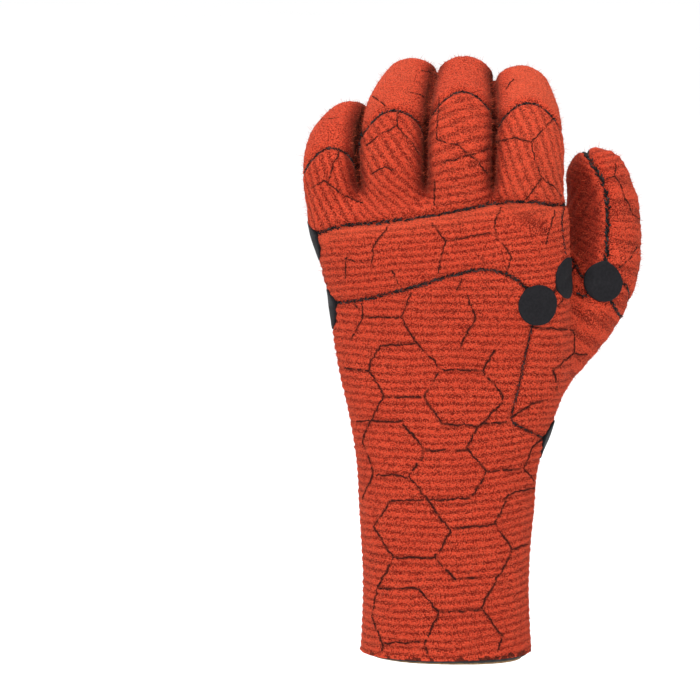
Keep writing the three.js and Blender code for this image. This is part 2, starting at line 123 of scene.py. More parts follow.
# Across, up, deep (shares of the hand), direction it faces in degrees from the back towards the thumb
PATCHES = {
    "patch_back": (0.37, 0.79, -0.5, 14),
    "patch_web": (0.515, 0.845, -0.22, 58),
    "patch_thumb": (0.648, 0.825, 0.1, -34),
    "patch_wrist": (0.395, 0.475, -0.02, 88),
    "patch_side_low": (-0.47, 0.765, 0.1, -90),
    "patch_side_high": (-0.53, 0.915, 0.16, -86),
    "patch_palm_wrist": (0.18, 0.487, 0.5, 176),
    "patch_palm_thumb": (0.52, 0.665, 0.75, 155),
}

FORM_BOX = ((-64, -32, 0), (90, 53, 270))
GRID = 0.66  # spacing of the outer surface
LINING_GRID = 2.6
TUBE_STEP = 0.5
TUBE_KEPT = 5  # one in so many steps of a finger's centre line is kept
REACH = 14.0  # distances to a finger are exact up to this far from it
BEYOND = 40.0
RELAX_WEIGHTS = (0.5, -0.52)  # each pass draws the surface in and lets it out again
HAND_TOP_BLEND = 8.0
FINGER_BLEND = 1.2
ROOT_BLEND = 6.5
THUMB_BLEND = ((150, 178), (10.0, 2.5))  # heights, and the blend between hand and thumb there

# The photograph's camera
CAMERA_DISTANCE = 1600
CAMERA_ELEVATION = math.radians(8)
CAMERA_AIM = (-43.65, 0, 137)
SENSOR = 36
PIXEL = 0.45  # millimetres in one pixel at the glove
FRAME_PIXELS = 700


# Noise that is the same each run

def hashed(cells, seed):
    a = cells.astype(np.int64)
    h = (a[:, 0] * 73856093) ^ (a[:, 1] * 19349663) ^ (a[:, 2] * 83492791) ^ (seed * 2654435761)
    h = (h ^ (h >> 13)) * 1274126177
    h = h ^ (h >> 16)
    return (h & 0xFFFFFF).astype(np.float64) / 0xFFFFFF


def noise(points, scale, seed):
    """Smooth value noise from -1 to 1. scale is the size of a blob."""
    p = np.asarray(points, dtype=np.float64) / scale
    cell = np.floor(p)
    f = p - cell
    f = f * f * (3 - 2 * f)
    total = np.zeros(len(p))
    for corner in np.ndindex(2, 2, 2):
        x, y, z = np.where(corner, f, 1 - f).T
        total += x * y * z * hashed(cell + corner, seed)
    return total * 2 - 1


def smoothstep(value, low, high):
    t = np.clip((value - low) / (high - low), 0, 1)
    return t * t * (3 - 2 * t)


def unit(vector):
    return vector / max(np.linalg.norm(vector), 1e-6)


def signed_power(value, power):
    return np.sign(value) * abs(value) ** power


def ease(rows):
    """Moves each row but the first and the last halfway towards its neighbours."""
    rows[1:-1] = (rows[:-2] + 2 * rows[1:-1] + rows[2:]) / 4


def line_tree(lines):
    """A search tree over the points of many lines, numbered in their order."""
    points = np.concatenate(lines).tolist()
    tree = KDTree(len(points))
    for i, q in enumerate(points):
        tree.insert(q, i)
    tree.balance()
    return tree


# The form of the glove as a signed distance

def hermite(knots, values, at):
    knots = np.asarray(knots, float)
    values = np.asarray(values, float)
    gap = np.diff(knots)
    slope = np.diff(values) / gap
    tangent = np.empty_like(values)
    tangent[1:-1] = (slope[:-1] * gap[1:] + slope[1:] * gap[:-1]) / (gap[:-1] + gap[1:])
    tangent[0] = slope[0]
    tangent[-1] = slope[-1]
    i = np.clip(np.searchsorted(knots, at) - 1, 0, len(gap) - 1)
    t = np.clip((at - knots[i]) / gap[i], 0, 1)
    h00 = 2 * t**3 - 3 * t**2 + 1
    h10 = t**3 - 2 * t**2 + t
    return (h00 * values[i] + h10 * gap[i] * tangent[i] + (1 - h00) * values[i + 1]
            + (t**3 - t**2) * gap[i] * tangent[i + 1])


def hand_table():
    ups, rows = [], []
    for up, of, left, right, back, palm, turn in HAND_SECTIONS:
        width, depth = (CUFF_WIDTH, CUFF_DEPTH) if of == "cuff" else (HAND_WIDTH, HAND_DEPTH)
        ups.append(up * HAND_LENGTH)
        rows.append(((left + right) * width / 2, (right - left) * width / 2, back * depth, palm * depth,
                     math.tan(math.radians(turn))))
    rows = np.array(rows)
    z = np.arange(0, ups[-1] + 0.5, 0.5)
    return z, np.stack([hermite(ups, rows[:, i], z) for i in range(rows.shape[1])], 1)


HAND_Z, HAND_ROWS = hand_table()
HAND_TOP = HAND_SECTIONS[-1][0] * HAND_LENGTH


def hand_sizes(z):
    return [np.interp(z, HAND_Z, HAND_ROWS[:, i]) for i in range(5)]


def hand_distance(x, y, z):
    half, middle, back, palm, turn = hand_sizes(z)
    across = x - middle
    deep = y + x * turn
    u = np.abs(across) / half
    v = np.abs(deep) / np.where(deep > 0, palm, back)
    r = np.maximum((u**HAND_ROUNDNESS + v**HAND_ROUNDNESS) ** (1 / HAND_ROUNDNESS), 1e-4)
    reach = np.hypot(across, deep)
    side = reach - np.maximum(reach, 1e-3) / r
    return -smooth_min(-side, HAND_TOP - z, HAND_TOP_BLEND)


def smooth_min(a, b, k):
    h = np.clip(0.5 + 0.5 * (b - a) / k, 0, 1)
    return b * (1 - h) + a * h - k * h * (1 - h)


def steer(sideways, away):
    return unit(np.array([math.sin(sideways), math.sin(away), math.cos(sideways) * math.cos(away)]))


def make_tube(start, heading, radius_at, length, cap):
    """The centre line of a finger in short steps, with its radius and direction at each."""
    count = int(round((length - cap) / TUBE_STEP))
    points, dirs = [np.array(start, float)], [heading(0.0)]
    for i in range(count):
        points.append(points[-1] + heading((i + 0.5) * TUBE_STEP) * TUBE_STEP)
        dirs.append(heading((i + 1) * TUBE_STEP))
    pick = np.unique(np.append(np.arange(0, count + 1, TUBE_KEPT), count))
    along = pick * TUBE_STEP
    return {"points": np.array(points)[pick], "dirs": np.array(dirs)[pick], "along": along,
            "radius": np.array([radius_at(s) for s in along]), "length": length}


def finger_tube(across, deep, up, length, width, lean, sway, curl, cap):
    root = FINGER_ROOT * FINGER_LENGTH
    own = length * FINGER_LENGTH
    total = root + own
    half = width * FINGER_WIDTH / 2
    curl_start = root + CURL_START * own
    curl_end = root + CURL_END * own

    def heading(s):
        bent = min(max((s - curl_start) / (curl_end - curl_start), 0), 1)
        swayed = min(max((s - curl_start) / (total - curl_start), 0), 1)
        return steer(math.radians(lean + (sway - lean) * swayed), math.radians(curl * bent))

    def radius(s):
        share = s / total
        tip = (1 - TIP_TAPER) * smoothstep(share, TAPER_START, 1)
        base = (1 - ROOT_TAPER) * (1 - smoothstep(share, 0, root / total))
        return half * SOFT_WIDTH * (1 - tip - base)

    start = (across * HAND_WIDTH, deep * HAND_DEPTH, up * HAND_LENGTH)
    tube = make_tube(start, heading, radius, total, half * TIP_TAPER)
    tube["seam"] = (FINGER_ROOT + cap * length) * FINGER_LENGTH
    return tube


def thumb_tube():
    share = [row[0] for row in THUMB_SECTIONS]
    lean = [math.radians(row[2]) for row in THUMB_SECTIONS]
    wide = [row[1] * THUMB_WIDTH for row in THUMB_SECTIONS]
    away = math.radians(THUMB_AWAY)
    start = (THUMB_START[0] * HAND_WIDTH, THUMB_START[1] * HAND_DEPTH, THUMB_START[2] * HAND_LENGTH)
    return make_tube(start, lambda s: steer(np.interp(s / THUMB_LENGTH, share, lean), away),
                     lambda s: np.interp(s / THUMB_LENGTH, share, wide), THUMB_LENGTH, wide[-1])


TUBES = [finger_tube(*row) for row in FINGERS.values()] + [thumb_tube()]  # the thumb is the fifth


def joined(hand, tubes, z):
    fingers = tubes[0]
    for d in tubes[1:4]:
        fingers = smooth_min(fingers, d, FINGER_BLEND)
    return smooth_min(smooth_min(hand, fingers, ROOT_BLEND), tubes[4], np.interp(z, *THUMB_BLEND))


def grid_field(step, low, high):
    """Signed distances on a regular grid between two corners."""
    counts = [int(math.ceil((high[i] - low[i]) / step)) + 1 for i in range(3)]
    axes = [low[i] + step * np.arange(counts[i]) for i in range(3)]
    x = axes[0][:, None]
    y = axes[1][None, :]
    hand = np.empty(counts, np.float32)
    for k, z in enumerate(axes[2]):
        hand[:, :, k] = hand_distance(x, y, z)
    tubes = []
    for tube in TUBES:
        d = np.full(counts, BEYOND, np.float32)
        points, radius = tube["points"], tube["radius"]
        for i in range(len(points) - 1):
            a, b = points[i], points[i + 1]
            r = max(radius[i], radius[i + 1]) + REACH
            lo = [max(0, int((min(a[c], b[c]) - r - low[c]) / step)) for c in range(3)]
            hi = [min(counts[c], int((max(a[c], b[c]) + r - low[c]) / step) + 2) for c in range(3)]
            s = b - a
            wx = (axes[0][lo[0]:hi[0]] - a[0])[:, None, None]
            wy = (axes[1][lo[1]:hi[1]] - a[1])[None, :, None]
            wz = (axes[2][lo[2]:hi[2]] - a[2])[None, None, :]
            t = np.clip((wx * s[0] + wy * s[1] + wz * s[2]) / (s @ s), 0, 1)
            e = np.sqrt((wx - t * s[0]) ** 2 + (wy - t * s[1]) ** 2 + (wz - t * s[2]) ** 2)
            e -= radius[i] + (radius[i + 1] - radius[i]) * t
            part = d[lo[0]:hi[0], lo[1]:hi[1], lo[2]:hi[2]]
            np.minimum(part, e, out=part)
        tubes.append(d)
    return joined(hand, tubes, axes[2][None, None, :])


def surface_net(field, low, step, level):
    """Points and four-sided faces on the level of a field, facing outwards."""
    f = field - level
    shape = np.array(f.shape)
    pairs_cell, pairs_point, quads = [], [], []
    offsets = {0: [(0, -1, -1), (0, 0, -1), (0, 0, 0), (0, -1, 0)],
               1: [(-1, 0, -1), (-1, 0, 0), (0, 0, 0), (0, 0, -1)],
               2: [(-1, -1, 0), (0, -1, 0), (0, 0, 0), (-1, 0, 0)]}
    for axis in range(3):
        idx = np.argwhere(np.diff(f < 0, axis=axis))
        sides = [c for c in range(3) if c != axis]
        idx = idx[((idx[:, sides] > 0) & (idx[:, sides] < shape[sides] - 1)).all(1)]
        f0 = f[tuple(idx.T)]
        f1 = f[tuple((idx + np.eye(3, dtype=int)[axis]).T)]
        point = idx.astype(np.float64)
        point[:, axis] += f0 / (f0 - f1)
        quad = np.stack([(idx + offset) @ (shape[1] * shape[2], shape[2], 1) for offset in offsets[axis]], 1)
        pairs_cell.extend(quad.T.copy())
        pairs_point.extend([point] * 4)
        quad[f0 > 0] = quad[f0 > 0][:, ::-1]
        quads.append(quad)
    cells = np.concatenate(pairs_cell)
    points = np.concatenate(pairs_point)
    unique, inverse = np.unique(cells, return_inverse=True)
    count = np.bincount(inverse)
    verts = np.stack([np.bincount(inverse, points[:, c]) / count for c in range(3)], 1)
    faces = np.searchsorted(unique, np.concatenate(quads))
    return verts * step + np.asarray(low, float), faces


def edges_of(faces):
    e = np.concatenate([faces[:, [i, (i + 1) % 4]] for i in range(4)])
    e.sort(axis=1)
    key = e[:, 0].astype(np.int64) * (faces.max() + 1) + e[:, 1]
    order = np.argsort(key, kind="stable")
    return e, key, order


def relaxed(verts, faces, passes):
    e, key, order = edges_of(faces)
    unique = e[order][np.concatenate([[True], np.diff(key[order]) > 0])]
    n = len(verts)
    degree = np.bincount(unique.ravel(), minlength=n)[:, None]
    v = verts.copy()
    for _ in range(passes):
        for weight in RELAX_WEIGHTS:
            total = np.stack([np.bincount(unique[:, 0], v[unique[:, 1], c], n)
                              + np.bincount(unique[:, 1], v[unique[:, 0], c], n) for c in range(3)], 1)
            v = v + weight * (total / degree - v)
    return v


def normals_of(verts, faces):
    cross = np.cross(verts[faces[:, 2]] - verts[faces[:, 0]], verts[faces[:, 3]] - verts[faces[:, 1]])
    total = np.stack([sum(np.bincount(faces[:, i], cross[:, c], len(verts)) for i in range(4))
                      for c in range(3)], 1)
    return total / np.maximum(np.linalg.norm(total, axis=1, keepdims=True), 1e-9)


def without_below(verts, faces, height):
    """Cuts the open end off at a height and drops the points that no face uses."""
    faces = faces[(verts[faces, 2] > height).any(1)]
    used = np.unique(faces)
    verts = verts[used].copy()
    verts[:, 2] = np.maximum(verts[:, 2], height)
    return verts, np.searchsorted(used, faces)


def form_surface(step, pad, level, passes, height):
    """Points and faces at a distance from the glove's outer surface, cut off at a height."""
    low, high = ([v + side * pad for v in corner] for side, corner in zip((-1, 1), FORM_BOX))
    points, quads = surface_net(grid_field(step, low, high), low, step, level)
    return without_below(relaxed(points, quads, passes), quads, height)


verts, faces = form_surface(GRID, 3 * GRID, 0.0, 4, 0.0)


# Where each point lies on the hand or on a finger

def across_tube(direction):
    """The sideways and the deep direction at a place on a finger's centre line."""
    side = unit(np.array([1.0, 0, 0]) - direction * direction[0])
    return side, np.cross(direction, side)


def tube_chart(p, tube):
    """Distance, length along, and the two sideways offsets of points near a tube."""
    n = len(p)
    out = np.full((n, 4), np.nan)
    out[:, 0] = BEYOND
    points, radius, dirs, along = tube["points"], tube["radius"], tube["dirs"], tube["along"]
    reach = radius[:, None] + REACH
    near = np.nonzero(((p > (points - reach).min(0)) & (p < (points + reach).max(0))).all(1))[0]
    q = p[near]
    best = np.full(len(q), BEYOND * 2)
    data = np.zeros((len(q), 3))
    for i in range(len(points) - 1):
        step = points[i + 1] - points[i]
        w = q - points[i]
        raw = w @ step / (step @ step)
        t = np.clip(raw, 0, 1)
        v = w - t[:, None] * step
        d = np.sqrt((v * v).sum(1)) - (radius[i] + (radius[i + 1] - radius[i]) * t)
        better = d < best
        best[better] = d[better]
        side, deep = across_tube(dirs[i])
        share = t if i < len(points) - 2 else np.maximum(raw, 0)
        data[better, 0] = along[i] + share[better] * np.linalg.norm(step)
        data[better, 1] = v[better] @ side
        data[better, 2] = v[better] @ deep
    out[near, 0] = best
    out[near, 1:] = data
    return out


charts = [tube_chart(verts, tube) for tube in TUBES]
hand_near = hand_distance(verts[:, 0], verts[:, 1], verts[:, 2])
finger_near = np.stack([c[:, 0] for c in charts[:4]], 1)
finger_of = finger_near.argmin(1)
all_near = np.stack([hand_near, finger_near.min(1), charts[4][:, 0]], 1)
owner = all_near.argmin(1)  # 0 hand, 1 a finger, 2 the thumb

# How close each point is to a second finger: 1 in the crease where two of them press together. With the mask
# beside the thumb it gives painted shade in the colour. The pairs are heights between which the crease or the
# shade starts.
CREASE_WIDTH = 12.0
FINGER_CREASE = (196, 216)
HAND_CREASE = (168, 216)
THUMB_SHADE = (150, 180)
THUMB_SHADE_WIDTH = 9
second_finger = np.sort(finger_near, axis=1)[:, 1]
thumb_crease = np.where(owner == 2, np.minimum(hand_near, finger_near.min(1)), charts[4][:, 0])
crease_reach = np.where(owner == 1, second_finger, np.where(owner == 2, thumb_crease, BEYOND))
crease = 1 - smoothstep(crease_reach, 0, CREASE_WIDTH)
crease *= np.where(owner == 1, smoothstep(verts[:, 2], *FINGER_CREASE), smoothstep(verts[:, 2], *HAND_CREASE))
# Painted shade on the hand where the thumb lies close to it
beside_thumb = (owner == 0) * (1 - smoothstep(charts[4][:, 0], 0, THUMB_SHADE_WIDTH))
shaded = crease + 0.7 * beside_thumb * smoothstep(verts[:, 2], *THUMB_SHADE)


def arc_table():
    """Length round the hand from the middle of its back, by height and by angle."""
    z = np.linspace(0, HAND_TOP, 60)
    angle = np.radians(np.arange(-180, 181, 3))  # from the middle of the back, towards the thumb
    half, middle, back, palm, _ = hand_sizes(z[:, None])
    c = np.cos(angle)[None, :]
    s = np.sin(angle)[None, :]
    x = half * signed_power(s, ROUND_POWER)
    y = np.where(c > 0, back, palm) * signed_power(c, ROUND_POWER)
    steps = np.hypot(np.diff(x, axis=1), np.diff(y, axis=1))
    arc = np.concatenate([np.zeros((len(z), 1)), np.cumsum(steps, 1)], 1)
    centre = len(angle) // 2
    return z, angle, arc - arc[:, centre:centre + 1]


ARC_Z, ARC_ANGLE, ARC = arc_table()


def hand_chart(p):
    """Length round the hand of points near it."""
    half, middle, back, palm, turn = hand_sizes(p[:, 2])
    u = (p[:, 0] - middle) / half
    deep = p[:, 1] + p[:, 0] * turn
    v = -deep / np.where(deep > 0, palm, back)
    angle = np.arctan2(signed_power(u, HAND_ROUNDNESS / 2), signed_power(v, HAND_ROUNDNESS / 2))
    row = np.clip(p[:, 2] / HAND_TOP * (len(ARC_Z) - 1), 0, len(ARC_Z) - 1.001)
    col = np.clip((angle - ARC_ANGLE[0]) / (ARC_ANGLE[1] - ARC_ANGLE[0]), 0, len(ARC_ANGLE) - 1.001)
    i, j = row.astype(int), col.astype(int)
    a, b = row - i, col - j
    return ((ARC[i, j] * (1 - b) + ARC[i, j + 1] * b) * (1 - a)
            + (ARC[i + 1, j] * (1 - b) + ARC[i + 1, j + 1] * b) * a)


# Panels

def scaled(points):
    return np.array(points, float) * (HAND_WIDTH, HAND_LENGTH)


def over(points, x, z):
    """Which points lie above a seam."""
    line = scaled(points)
    return z > np.interp(x, line[:, 0], line[:, 1])


def within(outline, x, z):
    """Which points lie inside a closed outline of the upright plane."""
    line = scaled(outline)
    inside = np.zeros(len(x), bool)
    for (x0, z0), (x1, z1) in zip(line, np.roll(line, -1, axis=0)):
        if z0 == z1:
            continue
        crosses = (z0 > z) != (z1 > z)
        inside ^= crosses & (x < (x1 - x0) * (z - z0) / (z1 - z0) + x0)
    return inside


PANELS = ["back_panel", "knuckle_band", "palm_panel", "palm_cuff", "thumb_outer", "thumb_inner", "thumb_base"]
PANELS += [name + "_finger_back" for name in FINGERS] + [name + "_fingertip" for name in FINGERS]
NUMBER = {name: i for i, name in enumerate(PANELS)}


def panel_of_faces():
    """The number of each face's panel, from the seams and from what it lies on."""
    centre = verts[faces].mean(1)
    x, y, z = centre.T
    owners = owner[faces[:, 0]]
    front = y < -SIDE_TURN * x
    foot = np.array(THUMB_FOOT) * (HAND_DEPTH, HAND_LENGTH)
    parting, slant = THUMB_PARTING
    upright = (z > np.interp(y, foot[:, 0], foot[:, 1])) & (x > parting * HAND_WIDTH + slant * y)
    gusset = within([(0.56, 0.9), *PALM_THUMB_SEAM, *THUMB_ROOT_SEAM], x, z) & (y > GUSSET_DEPTH * HAND_DEPTH)
    thumb = (upright | gusset) & (owners != 1)
    line = scaled(THUMB_LINE[::-1])
    outer = x > np.interp(z, line[:, 1], line[:, 0])
    base_front = within([*BACK_THUMB_SEAM, (2, 0.475), (2, 0.9), (0.56, 0.9), WEB_POINT], x, z) & front
    base_palm = within([*BASE_SEAM_PALM, (2, 0.475), (2, 0.9), (0.56, 0.9), (0.49, 0.83)], x, z) & ~front
    base = (base_front | base_palm) & (owners != 1)
    above = over(KNUCKLE_SEAM, x, z + SEAM_DROP)
    deep = np.zeros(len(faces))
    along = np.zeros(len(faces))
    which = finger_of[faces[:, 0]]
    for i in range(4):
        mine = which == i
        deep[mine] = charts[i][faces[mine], 3].mean(1)
        corner = charts[i][faces[mine]].mean(1)
        side_share = corner[:, 2] ** 2 / np.maximum(corner[:, 2] ** 2 + corner[:, 3] ** 2, 1e-6)
        along[mine] = corner[:, 1] + TIP_SEAM_SAG * side_share + TIP_SEAM_BACK[i]
    seams = np.array([TUBES[i]["seam"] for i in range(4)])[which]
    label = np.where(over(WRIST_SEAM_PALM, x, z), NUMBER["palm_panel"], NUMBER["palm_cuff"])
    back = front & ~above
    in_band = over(BAND_SEAM, x, z + SEAM_DROP)
    label[back] = np.where(in_band, NUMBER["knuckle_band"], NUMBER["back_panel"])[back]
    finger = above & (deep < 0)
    backs = NUMBER["index_finger_back"] + which
    tips = NUMBER["index_fingertip"] + which
    label[finger] = np.where(along > seams, tips, backs)[finger]
    label[base] = NUMBER["thumb_base"]
    label[thumb] = np.where(outer, NUMBER["thumb_outer"], NUMBER["thumb_inner"])[thumb]
    return label


def face_pairs():
    """Pairs of faces that share an edge, and that edge's two points."""
    e, key, order = edges_of(faces)
    owner_face = np.tile(np.arange(len(faces)), 4)[order]
    k = key[order]
    same = k[1:] == k[:-1]
    return owner_face[:-1][same], owner_face[1:][same], e[order][:-1][same]


WIDEST_ISLAND = 400  # faces


def tidied(label):
    """Gives small islands of a panel to the panel round them."""
    fa, fb, _ = face_pairs()
    for _ in range(3):
        same = label[fa] == label[fb]
        a, b = fa[same], fb[same]
        group = np.arange(len(label))
        while True:
            low_group = np.minimum(group[a], group[b])
            new = group.copy()
            np.minimum.at(new, a, low_group)
            np.minimum.at(new, b, low_group)
            new = new[new]
            if (new == group).all():
                break
            group = new
        size = np.bincount(group, minlength=len(label))
        biggest = {}
        for g in np.unique(group):
            n = label[g]
            if n not in biggest or size[g] > size[biggest[n]]:
                biggest[n] = g
        main = np.isin(group, list(biggest.values()))
        if main.all():
            break
        label = label.copy()
        for _ in range(WIDEST_ISLAND):
            for here, there in ((fa, fb), (fb, fa)):
                take = ~main[here] & main[there]
                label[here[take]] = label[there[take]]
                main[here[take]] = True
            if main.all():
                break
    return label


label = tidied(panel_of_faces())


# Seams: the lines where two panels meet

SHORTEST_SEAM = 5.0
SEAM_STEP = 0.8
SEAM_PASSES = 40


def seam_chains():
    """Each seam as its pair of panels and its points in order."""
    fa, fb, edge = face_pairs()
    apart = label[fa] != label[fb]
    pairs = np.sort(np.stack([label[fa[apart]], label[fb[apart]]], 1), 1)
    links = {}
    for (a, b), pair in zip(edge[apart].tolist(), map(tuple, pairs.tolist())):
        links.setdefault(a, []).append((b, pair))
        links.setdefault(b, []).append((a, pair))
    ends = {v for v, near in links.items() if len(near) != 2 or near[0][1] != near[1][1]}
    seen = set()
    chains = []
    for start in sorted(ends) + sorted(set(links) - ends):
        for first, pair in links[start]:
            if (start, first) in seen:
                continue
            chain = [start]
            before, at = start, first
            while True:
                seen.add((before, at))
                seen.add((at, before))
                chain.append(at)
                if at in ends or at == start:
                    break
                before, at = at, next(n for n, _ in links[at] if n != before)
            if len(chain) > SHORTEST_SEAM / GRID:
                chains.append((pair, verts[chain]))
    return chains


def resampled(points, step):
    length = np.concatenate([[0], np.cumsum(np.linalg.norm(np.diff(points, axis=0), axis=1))])
    at = np.linspace(0, length[-1], max(2, int(round(length[-1] / step)) + 1))
    return np.stack([np.interp(at, length, points[:, c]) for c in range(3)], 1)


def softened(points):
    p = resampled(points, SEAM_STEP)
    for _ in range(SEAM_PASSES):
        p[1:-1] += 0.5 * ((p[:-2] + p[2:]) / 2 - p[1:-1])
    return p


SEAMS = [(pair, softened(points)) for pair, points in seam_chains()]


def is_finger(n):
    return PANELS[n].endswith(("_finger_back", "_fingertip"))


def seam_weight(pair):
    """How strongly a seam draws the fabric in, and how thick its thread lies."""
    names = {PANELS[n] for n in pair}
    if all(is_finger(n) for n in pair) and len({name.split("_")[0] for name in names}) == 2:
        return 0.0, 0.0
    if "knuckle_band" in names and any(is_finger(n) for n in pair):
        return 1.15, 1.15
    if names == {"knuckle_band", "back_panel"}:
        return 0.9, 1.1
    if names == {"thumb_outer", "thumb_inner"}:
        return 1.1, 1.5
    if all(is_finger(n) for n in pair):
        return 0.8, 0.95
    if names == {"back_panel", "thumb_base"}:
        return 0.5, 0.75
    return 0.6, 0.8


drawn_in = [(points, seam_weight(pair)[0]) for pair, points in SEAMS if seam_weight(pair)[0]]
seam_tree = line_tree([points for points, _ in drawn_in])
found = [seam_tree.find(q)[1:] for q in verts.tolist()]
seam_gap = np.array([f[1] for f in found])
pulls = np.concatenate([np.full(len(points), weight) for points, weight in drawn_in])
seam_pull = pulls[[f[0] for f in found]]


# Ribs of the plush

# Direction of a panel's ribs in degrees, distance between ribs, height of the ribs
RIBS = {
    "back_panel": (0, 3.45, 0.5), "knuckle_band": (7, 3.05, 0.42), "palm_panel": (0, 3.4, 0.42),
    "palm_cuff": (0, 3.45, 0.45), "thumb_outer": (2, 3.3, 0.42), "thumb_inner": (-24, 3.2, 0.4),
    "thumb_base": (-3, 3.4, 0.42),
    "index_finger_back": (-62, 3.8, 0.5), "middle_finger_back": (12, 3.5, 0.48),
    "ring_finger_back": (-42, 3.4, 0.48), "little_finger_back": (-72, 3.6, 0.45),
    "index_fingertip": (84, 2.6, 0.14), "middle_fingertip": (4, 2.2, 0.16),
    "ring_fingertip": (8, 2.4, 0.14), "little_fingertip": (-14, 2.6, 0.14),
}
RIB_LIFT = 1.45
LOOP_LIFT = 0.2
SEAM_DEPTH = 1.05
SEAM_REACH = 1.5
SEAM_SWELL = 0.35  # the fabric swells a little beside a seam
SWELL_AT = 4.2
SWELL_REACH = 2.4
CREASE_DEPTH = 1.5
CREASE_REACH = 2.2
CREASE_RISE = (205, 222)  # heights between which a crease gets its depth

normals = normals_of(verts, faces)
panel_of_point = np.zeros(len(verts), int)
for corner in range(4):
    panel_of_point[faces[:, corner]] = label

# Length round and along for each point, from the hand or from the nearest finger
chart_a = hand_chart(verts)
chart_s = verts[:, 2].copy()
for i, tube in enumerate(TUBES):
    chart = charts[i]
    mine = (owner == (2 if i == 4 else 1)) & ((i == 4) | (finger_of == i))
    angle = np.arctan2(chart[:, 2], -chart[:, 3])
    chart_a[mine] = angle[mine] * tube["radius"].max()
    chart_s[mine] = chart[mine, 1] + tube["points"][0][2]

wander = noise(verts, 26, 3) * 1.1 + noise(verts, 9, 4) * 0.35
tables = np.array([RIBS[name] for name in PANELS])[panel_of_point]
turn = np.radians(tables[:, 0])
rise = 0.11 * np.clip(verts[:, 0] - 2, 0, 40) * (1 - smoothstep(verts[:, 2], 92, 125)) * (verts[:, 1] < 8)
along_rib = chart_a * np.cos(turn) + chart_s * np.sin(turn)
across_rib = chart_s * np.cos(turn) - chart_a * np.sin(turn) + wander - rise
phase = across_rib / tables[:, 1]
row = np.floor(phase + 0.5)
ridge = (0.5 + 0.5 * np.cos(2 * np.pi * phase)) ** 0.7
knots = noise(np.stack([along_rib, row * 17.3, row * 3.1], 1), 1.5, 11)
loops = noise(verts, 1.15, 12) * 0.6 + noise(verts, 2.3, 13) * 0.4
free = smoothstep(seam_gap, 0.5, 2.6)
worn = 0.75 + 0.25 * noise(verts, 14, 15)
relief = ridge * (0.85 + 0.3 * knots)
lift = RIB_LIFT * tables[:, 2] * worn * free * relief + LOOP_LIFT * loops * (0.35 + 0.65 * free)
groove = (SEAM_SWELL * seam_pull * np.exp(-((seam_gap - SWELL_AT) / SWELL_REACH) ** 2)
          - SEAM_DEPTH * seam_pull * np.exp(-(seam_gap / SEAM_REACH) ** 2))
dents = 0.55 * noise(verts, 34, 21) + 0.25 * noise(verts, 13, 22)
rim_fade = smoothstep(verts[:, 2], 0.0, 4.0)
smooth_points = verts + normals * (groove + dents * rim_fade)[:, None]
smooth_points -= normals * (CREASE_DEPTH * np.exp(-(np.maximum(crease_reach, 0) / CREASE_REACH) ** 2)
                            * (owner == 1) * smoothstep(verts[:, 2], *CREASE_RISE))[:, None]
skin = smooth_points + normals * lift[:, None]
skin[verts[:, 2] <= 0, 2] = 0
skin_normals = normals_of(skin, faces)

smooth_bvh = BVHTree.FromPolygons(smooth_points.tolist(), faces.tolist())
skin_bvh = BVHTree.FromPolygons(skin.tolist(), faces.tolist())


# Pieces

def make_piece(name, points, polygons, material, slot, replaces=(), point_normals=None, attributes=None):
    """A mesh from millimetres. All faces have as many corners as the first."""
    mesh = bpy.data.meshes.new(name)
    polygons = np.asarray(polygons, np.int32)
    corners = polygons.shape[1]
    mesh.vertices.add(len(points))
    mesh.vertices.foreach_set("co", (np.asarray(points, np.float32) * MM).ravel())
    mesh.loops.add(polygons.size)
    mesh.loops.foreach_set("vertex_index", polygons.ravel())
    mesh.polygons.add(len(polygons))
    mesh.polygons.foreach_set("loop_start", np.arange(0, polygons.size, corners, dtype=np.int32))
    mesh.update(calc_edges=True)
    mesh.validate()
    mesh.polygons.foreach_set("use_smooth", np.ones(len(mesh.polygons), bool))
    for key, values in (attributes or {}).items():
        mesh.attributes.new(key, "FLOAT", "POINT").data.foreach_set("value", np.asarray(values, np.float32))
    if point_normals is not None:
        mesh.normals_split_custom_set_from_vertices(point_normals.tolist())
    mesh.materials.append(material)
    piece = bpy.data.objects.new(name, mesh)
    bpy.context.scene.collection.objects.link(piece)
    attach(piece, BODY)
    if replaces:
        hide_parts(*replaces)
    return piece


class Heap:
    """Gathers many small meshes of one kind of face into one."""

    def __init__(self):
        self.points, self.faces, self.values, self.count = [], [], [], 0

    def add(self, points, polygons, value=0.0):
        self.points.append(points)
        self.faces.append(np.asarray(polygons) + self.count)
        self.values.append(np.full(len(points), value))
        self.count += len(points)

    def piece(self, name, material, slot, **more):
        return make_piece(name, np.concatenate(self.points), np.concatenate(self.faces), material, slot,
                          attributes={"painted_light": np.concatenate(self.values)}, **more)


def ring_faces(rings, sides):
    """Four-sided faces between neighbouring rings of a tube."""
    corners = [(r * sides + i, r * sides + (i + 1) % sides) for r in range(rings - 1) for i in range(sides)]
    return [(a, b, b + sides, a + sides) for a, b in corners]


# Materials

